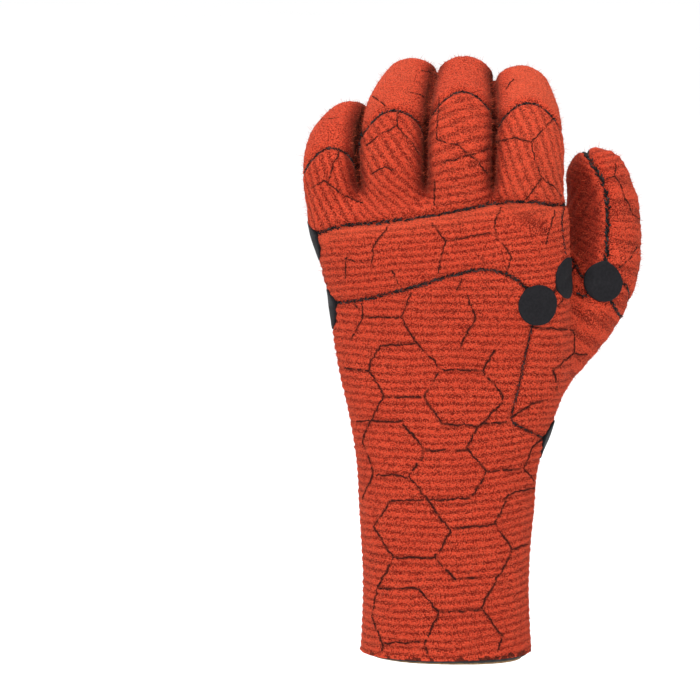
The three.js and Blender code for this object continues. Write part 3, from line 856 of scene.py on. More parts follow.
class Finish:
    """A new material with its shader, and the nodes that feed it."""

    def __init__(self, name, roughness, specular=None):
        self.material = bpy.data.materials.new(name)
        self.material.use_nodes = True
        self.nodes = self.material.node_tree.nodes
        self.links = self.material.node_tree.links
        self.inputs = self.nodes["Principled BSDF"].inputs
        self.inputs["Roughness"].default_value = roughness
        if specular is not None:
            self.inputs["Specular IOR Level"].default_value = specular

    def feed(self, socket, value):
        """Links a node's output to a socket, or sets its number or colour."""
        if isinstance(value, bpy.types.NodeSocket):
            self.links.new(value, socket)
        else:
            socket.default_value = (*value, 1) if isinstance(value, tuple) else value

    def add(self, kind, settings, **values):
        node = self.nodes.new(kind)
        for key, value in settings.items():
            setattr(node, key, value)
        for key, value in values.items():
            self.feed(node.inputs[key.replace("_", " ")], value)
        return node

    def attribute(self, name):
        return self.add("ShaderNodeAttribute", {"attribute_name": name}).outputs["Fac"]

    def noise(self, scale, detail=2.0, roughness=0.5):
        place = self.add("ShaderNodeTexCoord", {}).outputs["Object"]
        return self.add("ShaderNodeTexNoise", {}, Vector=place, Scale=scale, Detail=detail,
                        Roughness=roughness).outputs["Fac"]

    def curve(self, value, low, high, to_low=0.0, to_high=1.0):
        return self.add("ShaderNodeMapRange", {"interpolation_type": "SMOOTHSTEP"}, Value=value, From_Min=low,
                        From_Max=high, To_Min=to_low, To_Max=to_high).outputs["Result"]

    def mix(self, factor, dark, light):
        node = self.add("ShaderNodeMix", {"data_type": "RGBA"}, Factor=factor)
        self.feed(node.inputs[6], dark)
        self.feed(node.inputs[7], light)
        return node.outputs[2]

    def bump(self, height, strength, distance):
        """Adds a bump on top of those that the shader has."""
        node = self.add("ShaderNodeBump", {}, Height=height, Strength=strength, Distance=distance)
        before = self.inputs["Normal"].links
        if before:
            self.feed(node.inputs["Normal"], before[0].from_socket)
        self.feed(self.inputs["Normal"], node.outputs["Normal"])


def plush_material():
    finish = Finish("red_plush_lining", 0.95, 0.05)
    fine = finish.noise(2300.0, 1.0)
    specks = finish.noise(1650.0, 1.0)
    broad = finish.noise(38.0)
    painted_light_in = finish.attribute("painted_light")
    # The ribs' relief with fine specks sets the colour, darker in the valleys: painted shade
    deep = finish.add("ShaderNodeMath", {"operation": "ADD"})
    finish.feed(deep.inputs[0], finish.attribute("relief"))
    finish.feed(deep.inputs[1], finish.curve(specks, 0.34, 0.66, -0.42, 0.42))
    colour = finish.mix(finish.curve(deep.outputs[0], 0.05, 0.9), (0.12, 0.006, 0.004), (0.62, 0.059, 0.026))
    # What drives a layer, its range and the layer's strength over it, and its colour
    for driver, ranges, layer in (
            (fine, (0.5, 0.72, 0.0, 0.6), (0.86, 0.145, 0.07)),  # bright fibre ends
            (broad, (0.35, 0.7, 0.0, 0.2), (0.42, 0.034, 0.016)),  # wide cloudy variation
            (painted_light_in, (0.0, 1.0, 0.0, 0.42), (0.72, 0.115, 0.052)),  # painted light: the paler finger tops and the top of the knuckle band
            (painted_light_in, (-1.0, 0.0, 0.75, 0.0), (0.1, 0.0055, 0.004)),  # painted shade: the thumb's side towards the hand, and the creases
            (painted_light_in, (-2.0, -0.75, 0.92, 0.0), (0.01, 0.0015, 0.0015)),  # painted shade deep in a crease
            (finish.attribute("ink"), (0.2, 0.95, 0.0, 0.85), (0.035, 0.008, 0.006))):  # along the yarn
        colour = finish.mix(finish.curve(driver, *ranges), colour, layer)
    finish.feed(finish.inputs["Base Color"], colour)
    finish.inputs["Sheen Weight"].default_value = 0.2
    finish.inputs["Sheen Roughness"].default_value = 0.5
    finish.inputs["Sheen Tint"].default_value = (1.0, 0.3, 0.18, 1)
    finish.bump(fine, 0.7, 0.0004)
    finish.bump(specks, 1.0, 0.0008)
    return finish.material


def plain_material(name, dark, light, scale, roughness, bump_depth, specular=0.3):
    finish = Finish(name, roughness, specular)
    grain = finish.noise(scale, 3.0, 0.6)
    finish.feed(finish.inputs["Base Color"], finish.mix(finish.curve(grain, 0.3, 0.7), dark, light))
    finish.bump(grain, 0.5, bump_depth)
    return finish.material


def thread_material():
    finish = Finish("black_thread", 0.7, 0.15)
    grain = finish.noise(1600.0, 2.0, 0.6)
    # Some strands are paler: painted glints on the black thread
    strand = finish.mix(finish.attribute("painted_light"), (0.002, 0.002, 0.0025), (0.045, 0.042, 0.042))
    finish.feed(finish.inputs["Base Color"],
                finish.mix(finish.curve(grain, 0.4, 0.75, 0.0, 0.6), strand, (0.012, 0.01, 0.01)))
    finish.bump(grain, 0.6, 0.0003)
    return finish.material


plush = plush_material()
rubber = plain_material("matt_black_patch", (0.0045, 0.0043, 0.006), (0.0095, 0.009, 0.0115), 900.0, 0.7,
                        0.0002, 0.2)
fibre = plain_material("plush_fibre", (0.5, 0.05, 0.022), (0.72, 0.12, 0.055), 300.0, 0.9, 0.0001, 0.05)
thread = thread_material()
yarn = plain_material("dark_pattern_yarn", (0.012, 0.004, 0.003), (0.075, 0.013, 0.009), 1100.0, 0.9,
                      0.0005, 0.1)
foam = plain_material("black_neoprene", (0.006, 0.006, 0.006), (0.02, 0.018, 0.017), 700.0, 0.85, 0.0005)
jersey = plain_material("tan_jersey_edge", (0.2, 0.11, 0.045), (0.36, 0.22, 0.1), 900.0, 0.85, 0.0003)
inner = plain_material("black_jersey", (0.009, 0.009, 0.01), (0.02, 0.02, 0.022), 1100.0, 0.75, 0.0003)


def nearest(surface, p):
    """The nearest point of a surface and its direction there."""
    at, normal, _, _ = surface.find_nearest(Vector(p))
    return np.array(at), np.array(normal)


# The dark yarn of the honeycomb pattern

FRONT_RAISE = 1.6  # the front view's zero line lies this far below the rim
TO_CAMERA = np.array((0, -math.cos(CAMERA_ELEVATION), math.sin(CAMERA_ELEVATION)))
CAMERA_AT = np.array(CAMERA_AIM) + CAMERA_DISTANCE * TO_CAMERA

# The pattern as the back of the glove shows it: points across and up in millimetres on the upright plane
# through the middle of the glove, seen from the camera
FRONT_LINES = [
    [(-38, 158), (-38, 152), (-41, 146), (-43, 142)], [(-38, 152), (-22, 152)],
    [(-17, 160), (-21, 152), (-14, 141), (-4, 130), (-3, 128), (-10, 117), (-10, 115), (-2, 104)],
    [(-30, 139), (-35, 131), (-35, 128), (-28, 117), (-35, 104), (-38, 95), (-33, 82), (-38, 70)],
    [(-31, 139), (-14, 140)], [(-46, 129), (-35, 128)], [(-28, 116), (-12, 116)], [(-41, 105), (-20, 105)],
    [(-20, 104), (-10, 93), (-11, 89), (-17, 80), (-9, 70), (2, 55), (-5, 43), (4, 33), (17, 34)],
    [(-32, 81), (-18, 80)], [(-10, 92), (9, 92)], [(-3, 128), (15, 128)],
    [(23, 140), (16, 128), (25, 117), (25, 114), (14, 102), (9, 93), (18, 82), (11, 70), (-9, 69)],
    [(-2, 104), (14, 103)], [(17, 104), (27, 105)], [(13, 152), (6, 139)],
    [(-10, 69), (-25, 69), (-33, 57), (-32, 55), (-24, 43), (-31, 29), (-34, 16), (-29, 4), (-29, 0)],
    [(-24, 43), (-5, 43)], [(-31, 29), (-13, 29), (-3, 18), (-10, 3), (-8, -1)], [(-28, 4), (-12, 4)],
    [(2, 56), (21, 58)], [(27, 69), (22, 59), (30, 47), (29, 44), (23, 33), (16, 20), (26, 7), (24, 1)],
    [(-2, 18), (16, 19)], [(27, 70), (28, 72), (40, 75)], [(18, 82), (34, 84)],
    [(43, 97), (39, 94), (35, 84), (40, 78)], [(37, 148), (57, 146), (57, 136), (48, 128), (50, 119)],
    [(57, 136), (63, 135)], [(47, 115), (38, 113), (29, 107)], [(30, 47), (39, 50)],
    [(-8, 195), (-1, 187), (-4, 172)], [(-1, 186), (19, 190)],
    [(24, 202), (21, 194), (22, 188), (29, 179), (26, 170)], [(-27, 192), (-33, 184), (-34, 176)],
    [(48, 200), (46, 192), (44, 185)], [(-45, 179), (-46, 169)], [(-46, 178), (-34, 176)],
    [(-25, 173), (-22, 167)], [(7, 169), (4, 164)], [(-16, 163), (-18, 159)], [(-42, 158), (-38, 155)],
    [(9, 162), (10, 158), (13, 152)], [(52, 160), (49, 156)],
    [(48, 241), (43, 236), (37, 230), (39, 223), (42, 214), (35, 205)], [(21, 230), (30, 232), (37, 230)],
    [(42, 214), (48, 210), (51, 206)], [(29, 258), (26, 254)],
    [(-4, 246), (-5, 231), (4, 229), (13, 222), (18, 216)], [(-4, 250), (-4, 245)],
    [(-2, 221), (8, 224), (18, 227)], [(-6, 216), (-6, 202)], [(-34, 250), (-30, 248), (-28, 246)],
    [(-22, 243), (-23, 237), (-16, 230), (-13, 225)], [(-36, 229), (-31, 233), (-23, 237)],
    [(-34, 216), (-28, 219), (-22, 217)], [(-12, 262), (-8, 261), (-4, 259)], [(-17, 252), (-10, 250)],
    [(-48, 226), (-51, 220), (-53, 214)], [(-61, 210), (-55, 213), (-51, 210), (-46, 206), (-38, 203)],
    [(-57, 240), (-49, 241)], [(75, 221), (75, 215), (81, 202), (83, 198), (87, 195)],
    [(71, 214), (75, 215)], [(77, 174), (82, 178), (85, 184)],
]


def seen_point(across, up):
    """Where the camera's line of sight through a point of the front view meets the plush."""
    target = np.array((across, 0, (up - FRONT_RAISE) / math.cos(CAMERA_ELEVATION)))
    at = skin_bvh.ray_cast(Vector(CAMERA_AT), Vector(target - CAMERA_AT).normalized())[0]
    return None if at is None else np.array(at)


def front_line(points, step):
    """A line of the front view in short steps, with a zero as its third number."""
    return resampled(np.array([(across, up, 0.0) for across, up in points]), step)


yarn_lines = []
SHORTEST_RUN = 4  # points
FRONT_STEP = 0.7
FRONT_GAP = 5
# How far the yarn wanders, the size of a bend, its place in the noise and its seed
YARN_WANDER = ((0.4, 2.6, 5, 31), (0.3, 1.1, 9, 33))


def add_runs(line, widest_gap=math.inf):
    """Adds to the pattern the stretches of a line that no lost point and no wide gap breaks."""
    run = []
    for at in [*line, None]:
        if at is None or (run and np.linalg.norm(at - run[-1]) > widest_gap):
            if len(run) >= SHORTEST_RUN:
                yarn_lines.append(np.array(run))
            run = []
        if at is not None:
            run.append(at)


for points in FRONT_LINES:
    flat = front_line(points, FRONT_STEP)
    for axis in (0, 1):
        for far, bend, place, seed in YARN_WANDER:
            flat[:, axis] += far * noise(flat * (1, 1, 0) + (0, 0, place), bend, seed + axis)
    add_runs([seen_point(across, up) for across, up, _ in flat], FRONT_GAP)

# The same pattern on the sides that the camera doesn't see
CELL_WIDTH = 35.0
CELL_HEIGHT = 26.5
CELL_SIDE = 17.0
CORNER_SCATTER = 0.9


def honeycomb(reach, height, seed):
    """Sides of flat-topped cells from -reach to reach round and up to a height, as pairs of points."""
    pick = np.random.default_rng(seed)
    shift = {}

    def corner(a, s):
        key = (round(a * 4), round(s * 4))
        if key not in shift:
            shift[key] = pick.normal(0, CORNER_SCATTER, 2)
        return np.array((a, s)) + shift[key]

    pitch = (CELL_WIDTH + CELL_SIDE) / 2
    sides = []
    for i in range(int(-reach // pitch) - 1, int(reach // pitch) + 2):
        for j in range(-1, int(height // CELL_HEIGHT) + 2):
            a = i * pitch
            s = (j + 0.5 * (i % 2)) * CELL_HEIGHT
            left, right = (a - CELL_WIDTH / 2, s), (a + CELL_WIDTH / 2, s)
            top = [(a - CELL_SIDE / 2, s + CELL_HEIGHT / 2), (a + CELL_SIDE / 2, s + CELL_HEIGHT / 2)]
            sides += [(corner(*left), corner(*top[0])), (corner(*top[0]), corner(*top[1])),
                      (corner(*top[1]), corner(*right))]
    return sides


def hand_point(a, s):
    """A point on the hand from its length round and its height."""
    half, middle, back, palm, turn = hand_sizes(s)
    row = ARC[int(np.clip(s / HAND_TOP * (len(ARC_Z) - 1), 0, len(ARC_Z) - 1))]
    angle = np.interp(a, row, ARC_ANGLE)
    x = middle + half * signed_power(math.sin(angle), ROUND_POWER)
    c = math.cos(angle)
    y = -(back if c > 0 else palm) * signed_power(c, ROUND_POWER) - x * turn
    return np.array((x, y, s))


def tube_point(tube, a, s):
    """A point on a finger from its length round and along."""
    along = np.clip(s, 0, tube["along"][-1] + tube["radius"][-1])
    centre = np.array([np.interp(along, tube["along"], tube["points"][:, c]) for c in range(3)])
    direction = np.array([np.interp(along, tube["along"], tube["dirs"][:, c]) for c in range(3)])
    side, deep = across_tube(direction)
    angle = a / tube["radius"].max()
    radius = np.interp(along, tube["along"], tube["radius"])
    past = max(0.0, along - tube["along"][-1])
    centre = centre + direction * past
    radius = math.sqrt(max(radius**2 - past**2, 0.0))
    return centre + radius * (side * math.sin(angle) - deep * math.cos(angle))


FACING_AWAY = 0.02
OFF_THE_FORM = 3.5
PATTERN_STEP = 0.8
ROUND_THE_HAND = 110  # the longest way from the middle of the back to the middle of the palm
ON_THE_HAND = (1, 198)  # heights between which the pattern is on the hand
FINGER_START = 30  # lengths from which it is on a finger and on the thumb
THUMB_STEM = 62
TIP_MARGIN = 3


def hidden_point(spot, to_point, reach):
    """The plush at a spot of the pattern, unless the camera sees it or it lies on another form."""
    if not reach(*spot):
        return None
    meant = to_point(*spot)
    at, normal = nearest(skin_bvh, meant)
    return None if normal @ TO_CAMERA > FACING_AWAY or np.linalg.norm(at - meant) > OFF_THE_FORM else at


def hidden_runs(sides, to_point, reach):
    """Adds the stretches of a pattern that the camera doesn't see."""
    for start, end in sides:
        shares = np.linspace(0, 1, max(2, int(np.linalg.norm(end - start) / PATTERN_STEP)))
        add_runs([hidden_point(start + (end - start) * t, to_point, reach) for t in shares])


hidden_runs(honeycomb(ROUND_THE_HAND, HAND_TOP, 41), hand_point,
            lambda a, s: ON_THE_HAND[0] < s < ON_THE_HAND[1] and abs(a) < ROUND_THE_HAND + 2)
for i, tube in enumerate(TUBES):
    half_round = math.pi * tube["radius"].max()
    first = FINGER_START if i < 4 else THUMB_STEM
    hidden_runs(honeycomb(half_round, tube["length"], 50 + i),
                lambda a, s, tube=tube: tube_point(tube, a, s),
                lambda a, s, r=half_round, f=first, t=tube: abs(a) < r and f < s < t["length"] - TIP_MARGIN)


# The plush panels, one piece for each CAD node

# How much painted light (above 0) or painted shade (below 0) a panel has: painted light on the finger tops,
# which face the light, and painted shade on the thumb's side towards the hand
PANEL_PAINTED_LIGHT = {
    "index_fingertip": 0.65, "middle_fingertip": 0.15, "ring_fingertip": 0.4, "little_fingertip": 0.1,
    "index_finger_back": 0.35, "middle_finger_back": 0.2, "ring_finger_back": 0.12, "thumb_inner": -0.8,
}
BAND_PAINTED_LIGHT = 0.6  # painted light at the top of the knuckle band, which faces up to the light
SHADE_TONE = 1.75
SEAM_SHADE = 0.45
SEAM_SHADE_REACH = 0.9
INK_REACH = 0.95
PALE_YARN = (140, 170)  # heights over which the yarn gets thinner and paler
painted_light = np.array([PANEL_PAINTED_LIGHT.get(name, 0.0) for name in PANELS])[panel_of_point] * smoothstep(seam_gap, 0, 6)
band = panel_of_point == NUMBER["knuckle_band"]
line = scaled(KNUCKLE_SEAM)
below_knuckles = np.interp(verts[:, 0], line[:, 0], line[:, 1]) - verts[:, 2]
painted_light[band] += (BAND_PAINTED_LIGHT * (1 - smoothstep(below_knuckles, 2, 16)))[band]
# Painted shade in the creases between fingers and beside the thumb
painted_light -= SHADE_TONE * shaded
clumps = noise(verts, 1.5, 16)
# Colour by the ribs: painted shade in the rib valleys, and more painted shade in the seams' grooves
colour_relief = (0.1 + 0.68 * (ridge * free + 0.6 * (1 - free)) + 0.12 * loops + 0.1 * clumps
                 + 0.1 * knots * free)
soft_tip = tables[:, 2] < 0.2
colour_relief[soft_tip] = (0.55 + 0.1 * relief + 0.12 * loops + 0.08 * clumps)[soft_tip]
colour_relief -= SEAM_SHADE * np.exp(-(seam_gap / SEAM_SHADE_REACH) ** 2)
yarn_tree = line_tree(yarn_lines)
yarn_gap = np.array([yarn_tree.find(q)[2] for q in skin.tolist()])
ink = np.exp(-(yarn_gap / INK_REACH) ** 2) * np.clip(0.8 + 0.7 * clumps + 0.3 * noise(verts, 4, 17), 0, 1)
ink *= 1 - 0.25 * smoothstep(verts[:, 2], *PALE_YARN)

# Black flecks of the core that the trimmed edge shows, mostly towards the thumb side
flecks = noise(verts, 2.2, 18) + 0.6 * noise(verts, 0.9, 19) + 0.35 * np.clip(verts[:, 0] / 30, -1, 1)
ink = np.maximum(ink, 1.2 * (verts[:, 2] < 1.1 + 0.9 * flecks) * (flecks > -0.1))

for n, name in enumerate(PANELS):
    mine = faces[label == n]
    used = np.unique(mine)
    make_piece("plush_" + name, skin[used], np.searchsorted(used, mine), plush, "plush_lining", (name,),
               skin_normals[used], {"relief": colour_relief[used], "painted_light": painted_light[used], "ink": ink[used]})


# Round black patches over the seams' ends

LOOK_FROM = 3  # the plush is looked for this far to both sides


def plush_height(p, centre, normal):
    """How high the plush stands at a point, along a patch's own direction."""
    at = skin_bvh.ray_cast(Vector(p + LOOK_FROM * normal), Vector(-normal), 2 * LOOK_FROM)[0]
    return -BEYOND if at is None else (np.array(at) - centre) @ normal


def laid_out(centre, normal, radius, sides):
    """Paths from the middle of a patch to its edge that lie on the smooth surface, one for each direction."""
    right = unit(np.cross((0, 0, 1), normal))
    top = np.cross(normal, right)
    paths = np.empty((sides, PATCH_STEPS + 1, 3))
    outs = np.empty((sides, PATCH_STEPS + 1, 3))
    for i in range(sides):
        angle = 2 * math.pi * i / sides
        direction = right * math.cos(angle) + top * math.sin(angle)
        at, out = centre, normal
        paths[i, 0], outs[i, 0] = at, out
        for k in range(1, PATCH_STEPS + 1):
            new, out = nearest(smooth_bvh, at + direction * radius / PATCH_STEPS)
            direction = unit(new - at - out * ((new - at) @ out))
            at = new
            paths[i, k], outs[i, k] = at, out
    return paths, outs


EDGE_SHARES = [0.1, 0.22, 0.34, 0.46, 0.58, 0.7, 0.8, 0.88, 0.94, 0.975, 0.995, 1.0, 0.995]
EDGE_LIFTS = [0.95] * 8 + [0.93, 0.88, 0.72, 0.42, -0.4]
BRIDGE_PASSES = 30  # a patch lies straight across the groove of a seam
PLUSH_COVER = 0.7  # the plush stands at most this far above the surface that a patch is lifted from
PATCH_STEPS = 30
PATCH_SIDES = 72
PATCH_BLURS = 10
DROPPED_FROM = 12  # millimetres off the middle of a patch's place, where its line to the surface starts
TILT_REACH = 1.5  # a patch's direction is the mean of the surface's this far round its middle
# Middles of the patches that the front view shows whole, in its millimetres
SEEN_PATCHES = {"patch_back": (40.5, 157.5), "patch_web": (53.8, 169.6), "patch_thumb": (70.2, 168.0)}
patch_centres = []


def blurred(grid):
    """A round grid blurred with its neighbours on both sides."""
    return (grid * 2 + np.roll(grid, 1, 1) + np.roll(grid, -1, 1)) / 4


def turned_to(normal, quads, points):
    """Faces turned over if the first one faces away from a direction."""
    a, b, c, d = points[quads[0]]
    return quads if np.cross(c - a, d - b) @ normal > 0 else quads[:, ::-1]


def patch_piece(name, across, up, deep, around):
    """A round patch that lies on the surface, with a rounded edge that goes down into the plush."""
    if name in SEEN_PATCHES:
        middle = seen_point(*SEEN_PATCHES[name])
    else:
        facing = np.array((math.sin(math.radians(around)), -math.cos(math.radians(around)), 0))
        middle = np.array((across * HAND_WIDTH, deep * HAND_DEPTH, up * HAND_LENGTH))
        hit = smooth_bvh.ray_cast(Vector(middle + facing * DROPPED_FROM), Vector(-facing))[0]
        middle = middle if hit is None else np.array(hit)
    centre = nearest(smooth_bvh, middle)[0]
    patch_centres.append(centre)
    round_centre = centre + TILT_REACH * np.stack([np.eye(3), -np.eye(3)], 1).reshape(-1, 3)
    normal = unit(np.mean([nearest(smooth_bvh, q)[1] for q in round_centre], 0))
    paths, outs = laid_out(centre, normal, PATCH_DIAMETER / 2, PATCH_SIDES)
    at = np.array(EDGE_SHARES) * (paths.shape[1] - 1)
    low_step = np.minimum(at.astype(int), paths.shape[1] - 2)
    part = (at - low_step)[None, :, None]
    spots = (paths[:, low_step] * (1 - part) + paths[:, low_step + 1] * part).transpose(1, 0, 2)
    ways = (outs[:, low_step] * (1 - part) + outs[:, low_step + 1] * part).transpose(1, 0, 2)
    for _ in range(PATCH_BLURS):
        ways = blurred(ways)
        ease(ways)
        spots = blurred(spots)
    ways /= np.linalg.norm(ways, axis=2, keepdims=True)
    height = (spots - centre) @ normal
    cover = [[plush_height(q, centre, normal) - PLUSH_COVER for q in row] for row in spots]
    lowest = np.maximum(height, cover)
    bridged = lowest.copy()
    for _ in range(BRIDGE_PASSES):
        ease(bridged)
        bridged = blurred(bridged)
        bridged[0] = bridged[0].mean()
        bridged = np.maximum(bridged, lowest)
    spots += (bridged - height)[:, :, None] * normal
    rows = spots + ways * np.array(EDGE_LIFTS)[:, None, None]
    peak = rows[0].mean(0)
    rows = np.concatenate([peak + (rows[:1] - peak) * 0.05, rows])
    points = rows.reshape(-1, 3)
    quads = turned_to(normal, np.array(ring_faces(len(rows), PATCH_SIDES)), points)
    fan = turned_to(normal, np.array([(0, i, i + 1, i + 2) for i in range(1, PATCH_SIDES - 2, 2)]), points)
    make_piece("rubber_" + name, points, np.concatenate([quads, fan]), rubber, "seam_patch", (name,))


for name, spot in PATCHES.items():
    patch_piece(name, *spot)


def under_patch(p):
    return min(np.linalg.norm(p - centre) for centre in patch_centres) < PATCH_DIAMETER / 2 - 1


# Thread along the seams

# A short rod with narrow ends along the first axis, half a unit each way and one unit in radius
ROD_SIDES = 6
ROD_STATIONS = [(-0.5, 0.35), (-0.38, 0.85), (0.0, 1.0), (0.38, 0.85), (0.5, 0.35)]
ROD_ANGLES = [2 * math.pi * i / ROD_SIDES for i in range(ROD_SIDES)]
ROD = np.array([(s, r * math.cos(angle), r * math.sin(angle))
                for s, r in ROD_STATIONS for angle in ROD_ANGLES])
ROD_FACES = ring_faces(len(ROD_STATIONS), ROD_SIDES)
rng = np.random.default_rng(7)


def rod(middle, along, up, length, radius):
    """The rod's points at a place, turned and scaled."""
    along = unit(along)
    side = unit(np.cross(up, along))
    top = np.cross(along, side)
    local = ROD * (length, radius, radius)
    return middle + local[:, :1] * along + local[:, 1:2] * side + local[:, 2:3] * top


stitches = Heap()
STITCH_STEP = 1.35
STRANDS_LEFT_OUT = 0.15
STRAND_LENGTH = 1.7
STRAND_RADIUS = 0.3
THINNEST_STRAND = 0.15
STRAND_SLANT = 0.55
STRAND_LIFT = 0.16


def sew(points, thick):
    """A chain of short crossing strands along a line."""
    path = resampled(points, STITCH_STEP)
    for i in range(len(path) - 1):
        tangent = unit(path[i + 1] - path[i])
        at, normal = nearest(skin_bvh, (path[i] + path[i + 1]) / 2)
        if under_patch(at):
            continue
        side = unit(np.cross(normal, tangent))
        for which in (-1, 1):
            if rng.random() < STRANDS_LEFT_OUT:
                continue
            direction = tangent + side * (which * STRAND_SLANT + rng.normal(0, 0.2))
            shift = (side * (which * 0.3 * thick + rng.normal(0, 0.12)) + tangent * which * 0.22
                     + normal * (STRAND_LIFT + rng.normal(0, 0.1)))
            length = STRAND_LENGTH * (0.75 + 0.25 * thick) * (1 + rng.normal(0, 0.16))
            radius = STRAND_RADIUS * thick * (1 + rng.normal(0, 0.2))
            # The last number is the strand's painted glint
            stitches.add(rod(at + shift, direction, normal, length, max(radius, THINNEST_STRAND)),
                         ROD_FACES, rng.random() ** 2)


for pair, points in SEAMS:
    thick = seam_weight(pair)[1]
    if thick:
        sew(points, thick)

# Thread that the front view shows beside the seams between panels: points in its millimetres, and thickness
FRONT_THREAD = [
    ([(70, 213), (63, 207), (56, 200), (54, 195)], 0.95),
    ([(52, 202), (51, 195), (52, 187), (53, 180)], 0.6),
    ([(73, 160), (76, 155), (78, 152)], 1.2),
    ([(58, 163), (61, 161), (63, 162)], 0.9),
    ([(49, 164), (51, 165)], 0.8),
]
THREAD_GAP = 6
for points, thick in FRONT_THREAD:
    seen = [seen_point(across, up) for across, up, _ in front_line(points, 1.0)]
    run = np.array([q for q in seen if q is not None])
    if len(run) > 1 and np.linalg.norm(np.diff(run, axis=0), axis=1).max() < THREAD_GAP:
        sew(run, thick)
stitches.piece("seam_thread", thread, "thread")


# The pattern yarn itself

pattern = Heap()
YARN_SIDES = 5
YARN_STEP = 0.6
YARN_RADIUS = 0.36
WEAKEST_YARN = -0.5  # the yarn is broken where its strength is less


def lay_yarn(points, number):
    """Tubes along a line of the pattern, broken where the yarn is weak or under a patch."""
    path = resampled(points, YARN_STEP)
    ease(path)
    count = len(path)
    places = np.stack([np.arange(count) * YARN_STEP, np.full(count, number * 7.7), np.zeros(count)], 1)
    strength = noise(places, 2.2, 61)
    rings = []
    for i in range(count + 1):
        at = None
        if i < count and strength[i] >= WEAKEST_YARN:
            at, normal = nearest(skin_bvh, path[i])
        if at is None or under_patch(at):
            if len(rings) > 2:
                pattern.add(np.concatenate(rings), ring_faces(len(rings), YARN_SIDES))
            rings = []
            continue
        tangent = path[min(i + 1, count - 1)] - path[max(i - 1, 0)]
        side = unit(np.cross(normal, tangent))
        thin = 1 - 0.2 * smoothstep(path[i, 2], *PALE_YARN)
        radius = YARN_RADIUS * thin * (1 + 0.4 * strength[i] + rng.normal(0, 0.25))
        centre = at + side * rng.normal(0, 0.18) - normal * 0.08
        angles = 2 * math.pi * np.arange(YARN_SIDES) / YARN_SIDES
        rings.append(centre + radius * (np.cos(angles)[:, None] * side + np.sin(angles)[:, None] * normal))


for k, points in enumerate(yarn_lines):
    lay_yarn(points, k)
pattern.piece("honeycomb_yarn", yarn, "thread")


# Loose fibres that soften the outline

FIBRES = 60000
FIBRE_RADIUS = 0.075
FIBRE_LEAN = 0.55
FIBRE_LENGTH = (3.0, 0.27)  # shape and scale of the spread of lengths
FIBRE_ROOT = 0.15
PATCH_CLEARANCE = 1.2
picked = rng.integers(0, len(faces), FIBRES)
mix = rng.random((FIBRES, 2))
corners = skin[faces[picked]]
base = (corners[:, 0] * (1 - mix[:, :1]) + corners[:, 1] * mix[:, :1]) * (1 - mix[:, 1:])
base += (corners[:, 3] * (1 - mix[:, :1]) + corners[:, 2] * mix[:, :1]) * mix[:, 1:]
outward = skin_normals[faces[picked, 0]]
lean_way = rng.normal(0, FIBRE_LEAN, (FIBRES, 3))
fibre_length = rng.gamma(*FIBRE_LENGTH, FIBRES)[:, None]
tips = base + (outward + lean_way) * fibre_length
thickness = np.cross(outward, lean_way)
thickness /= np.maximum(np.linalg.norm(thickness, axis=1, keepdims=True), 1e-6)
base -= outward * FIBRE_ROOT
points = np.stack([base - thickness * FIBRE_RADIUS, base + thickness * FIBRE_RADIUS, tips], 1)
keep = (points[:, :, 2] > 0).all(1)
for centre in patch_centres:
    keep &= np.linalg.norm(points[:, 0] - centre, axis=1) > PATCH_DIAMETER / 2 + PATCH_CLEARANCE
points = points[keep].reshape(-1, 3)
make_piece("loose_fibres", points, np.arange(len(points)).reshape(-1, 3), fibre, "plush_lining")


# The cut edge of the cuff and the inside of the glove

RIM_SIDES = 300


def rim_piece(name, profile, material, grain, seed):
    """Rings round the rim at a distance inwards and a height, with a little grain."""
    half, middle, back, palm, _ = hand_sizes(0.0)
    rings = []
    for inward, height in profile:
        for i in range(RIM_SIDES):
            angle = 2 * math.pi * i / RIM_SIDES
            c, s = math.cos(angle), math.sin(angle)
            drop = 1.0 + 0.3 * c if height < 0 else 1
            rings.append((middle + (half - inward) * signed_power(c, ROUND_POWER),
                          ((palm if s > 0 else back) - inward) * signed_power(s, ROUND_POWER), height * drop))
    points = np.array(rings)
    points += grain[0] * noise(points, grain[1], seed)[:, None]
    make_piece(name, points, ring_faces(len(profile), RIM_SIDES), material, "neoprene")


rim_piece("cut_edge", [(0.35, 1.4), (0.25, 0.1), (0.6, -0.5), (1.5, -1.1), (2.7, -1.6), (3.6, -1.85),
                       (3.9, -1.9)], foam, (0.12, 1.6), 71)
rim_piece("jersey_edge", [(3.7, -1.4), (3.6, -2.1), (3.95, -2.55), (4.5, -2.4), (4.75, -1.4), (4.8, 2.0),
                          (4.8, 6.0)], jersey, (0.06, 2.0), 72)

inner_points, inner_faces = form_surface(LINING_GRID, 2 * LINING_GRID, -WALL, 2, 0.2)
make_piece("inside", inner_points, inner_faces[:, ::-1], inner, "neoprene")


# Floor, light and camera

def new_object(name, data):
    made = bpy.data.objects.new(name, data)
    bpy.context.scene.collection.objects.link(made)
    return made


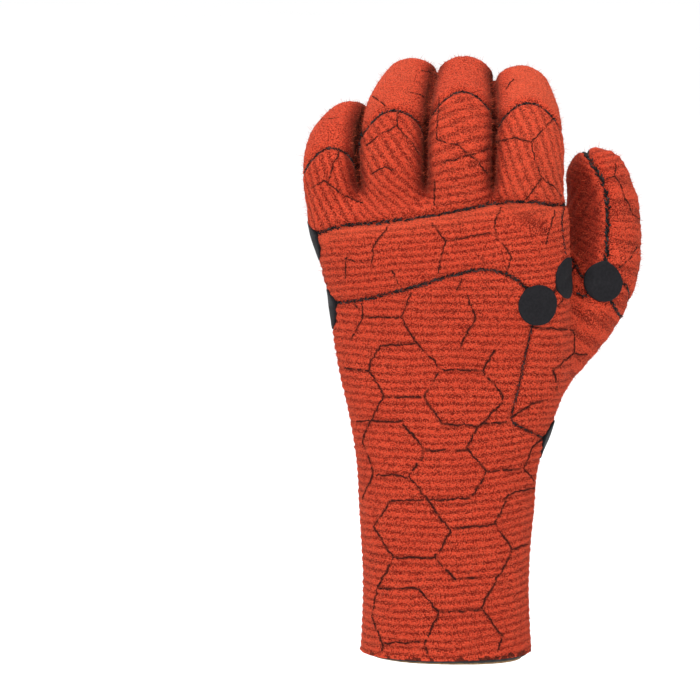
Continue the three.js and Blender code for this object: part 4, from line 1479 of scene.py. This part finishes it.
FLOOR_SIZE = 30.0
FLOOR_HEIGHT = -0.07
floor_mesh = bpy.data.meshes.new("floor")
floor_mesh.from_pydata([(x * FLOOR_SIZE, y * FLOOR_SIZE, FLOOR_HEIGHT)
                        for x, y in ((-1, -1), (1, -1), (1, 1), (-1, 1))], [], [(0, 1, 2, 3)])
floor = new_object("floor", floor_mesh)
pale = Finish("pale_floor", 0.9)
pale.feed(pale.inputs["Base Color"], pale.mix(pale.noise(3.0), (0.93, 0.93, 0.93), (0.96, 0.96, 0.96)))
floor_mesh.materials.append(pale.material)

LIGHTS_AIM = Vector((0.0, 0.0, 0.13))


def area_light(name, place, size, power):
    data = bpy.data.lights.new(name, "AREA")
    data.shape = "DISK"
    data.size = size
    data.energy = power
    lamp = new_object(name, data)
    lamp.location = place
    lamp.rotation_euler = (LIGHTS_AIM - Vector(place)).to_track_quat("-Z", "Y").to_euler()


area_light("key", (-0.75, -1.15, 1.35), 0.45, 15)
area_light("fill", (1.2, -0.9, 0.7), 0.9, 3.5)
area_light("rim", (-0.3, 0.9, 0.9), 0.6, 5)

sun_data = bpy.data.lights.new("overhead", "SUN")
sun_data.energy = 2.6
sun_data.angle = math.radians(50)
sun = new_object("overhead", sun_data)
sun.rotation_euler = (math.radians(12), 0, 0)

world = bpy.data.worlds.new("studio")
world.use_nodes = True
world.node_tree.nodes["Background"].inputs["Color"].default_value = (1, 1, 1, 1)
world.node_tree.nodes["Background"].inputs["Strength"].default_value = 0.3
bpy.context.scene.world = world
bpy.context.scene.view_settings.view_transform = "Standard"
bpy.context.scene.view_settings.look = "None"

camera_data = bpy.data.cameras.new("camera")
camera_data.sensor_fit = "HORIZONTAL"
camera_data.sensor_width = SENSOR
camera_data.lens = SENSOR * CAMERA_DISTANCE / (PIXEL * FRAME_PIXELS)
camera_data.clip_end = 100
camera = new_object("camera", camera_data)
camera.location = Vector(CAMERA_AT * MM)
camera.rotation_euler = (Vector(CAMERA_AIM) * MM - camera.location).to_track_quat("-Z", "Y").to_euler()
bpy.context.scene.camera = camera
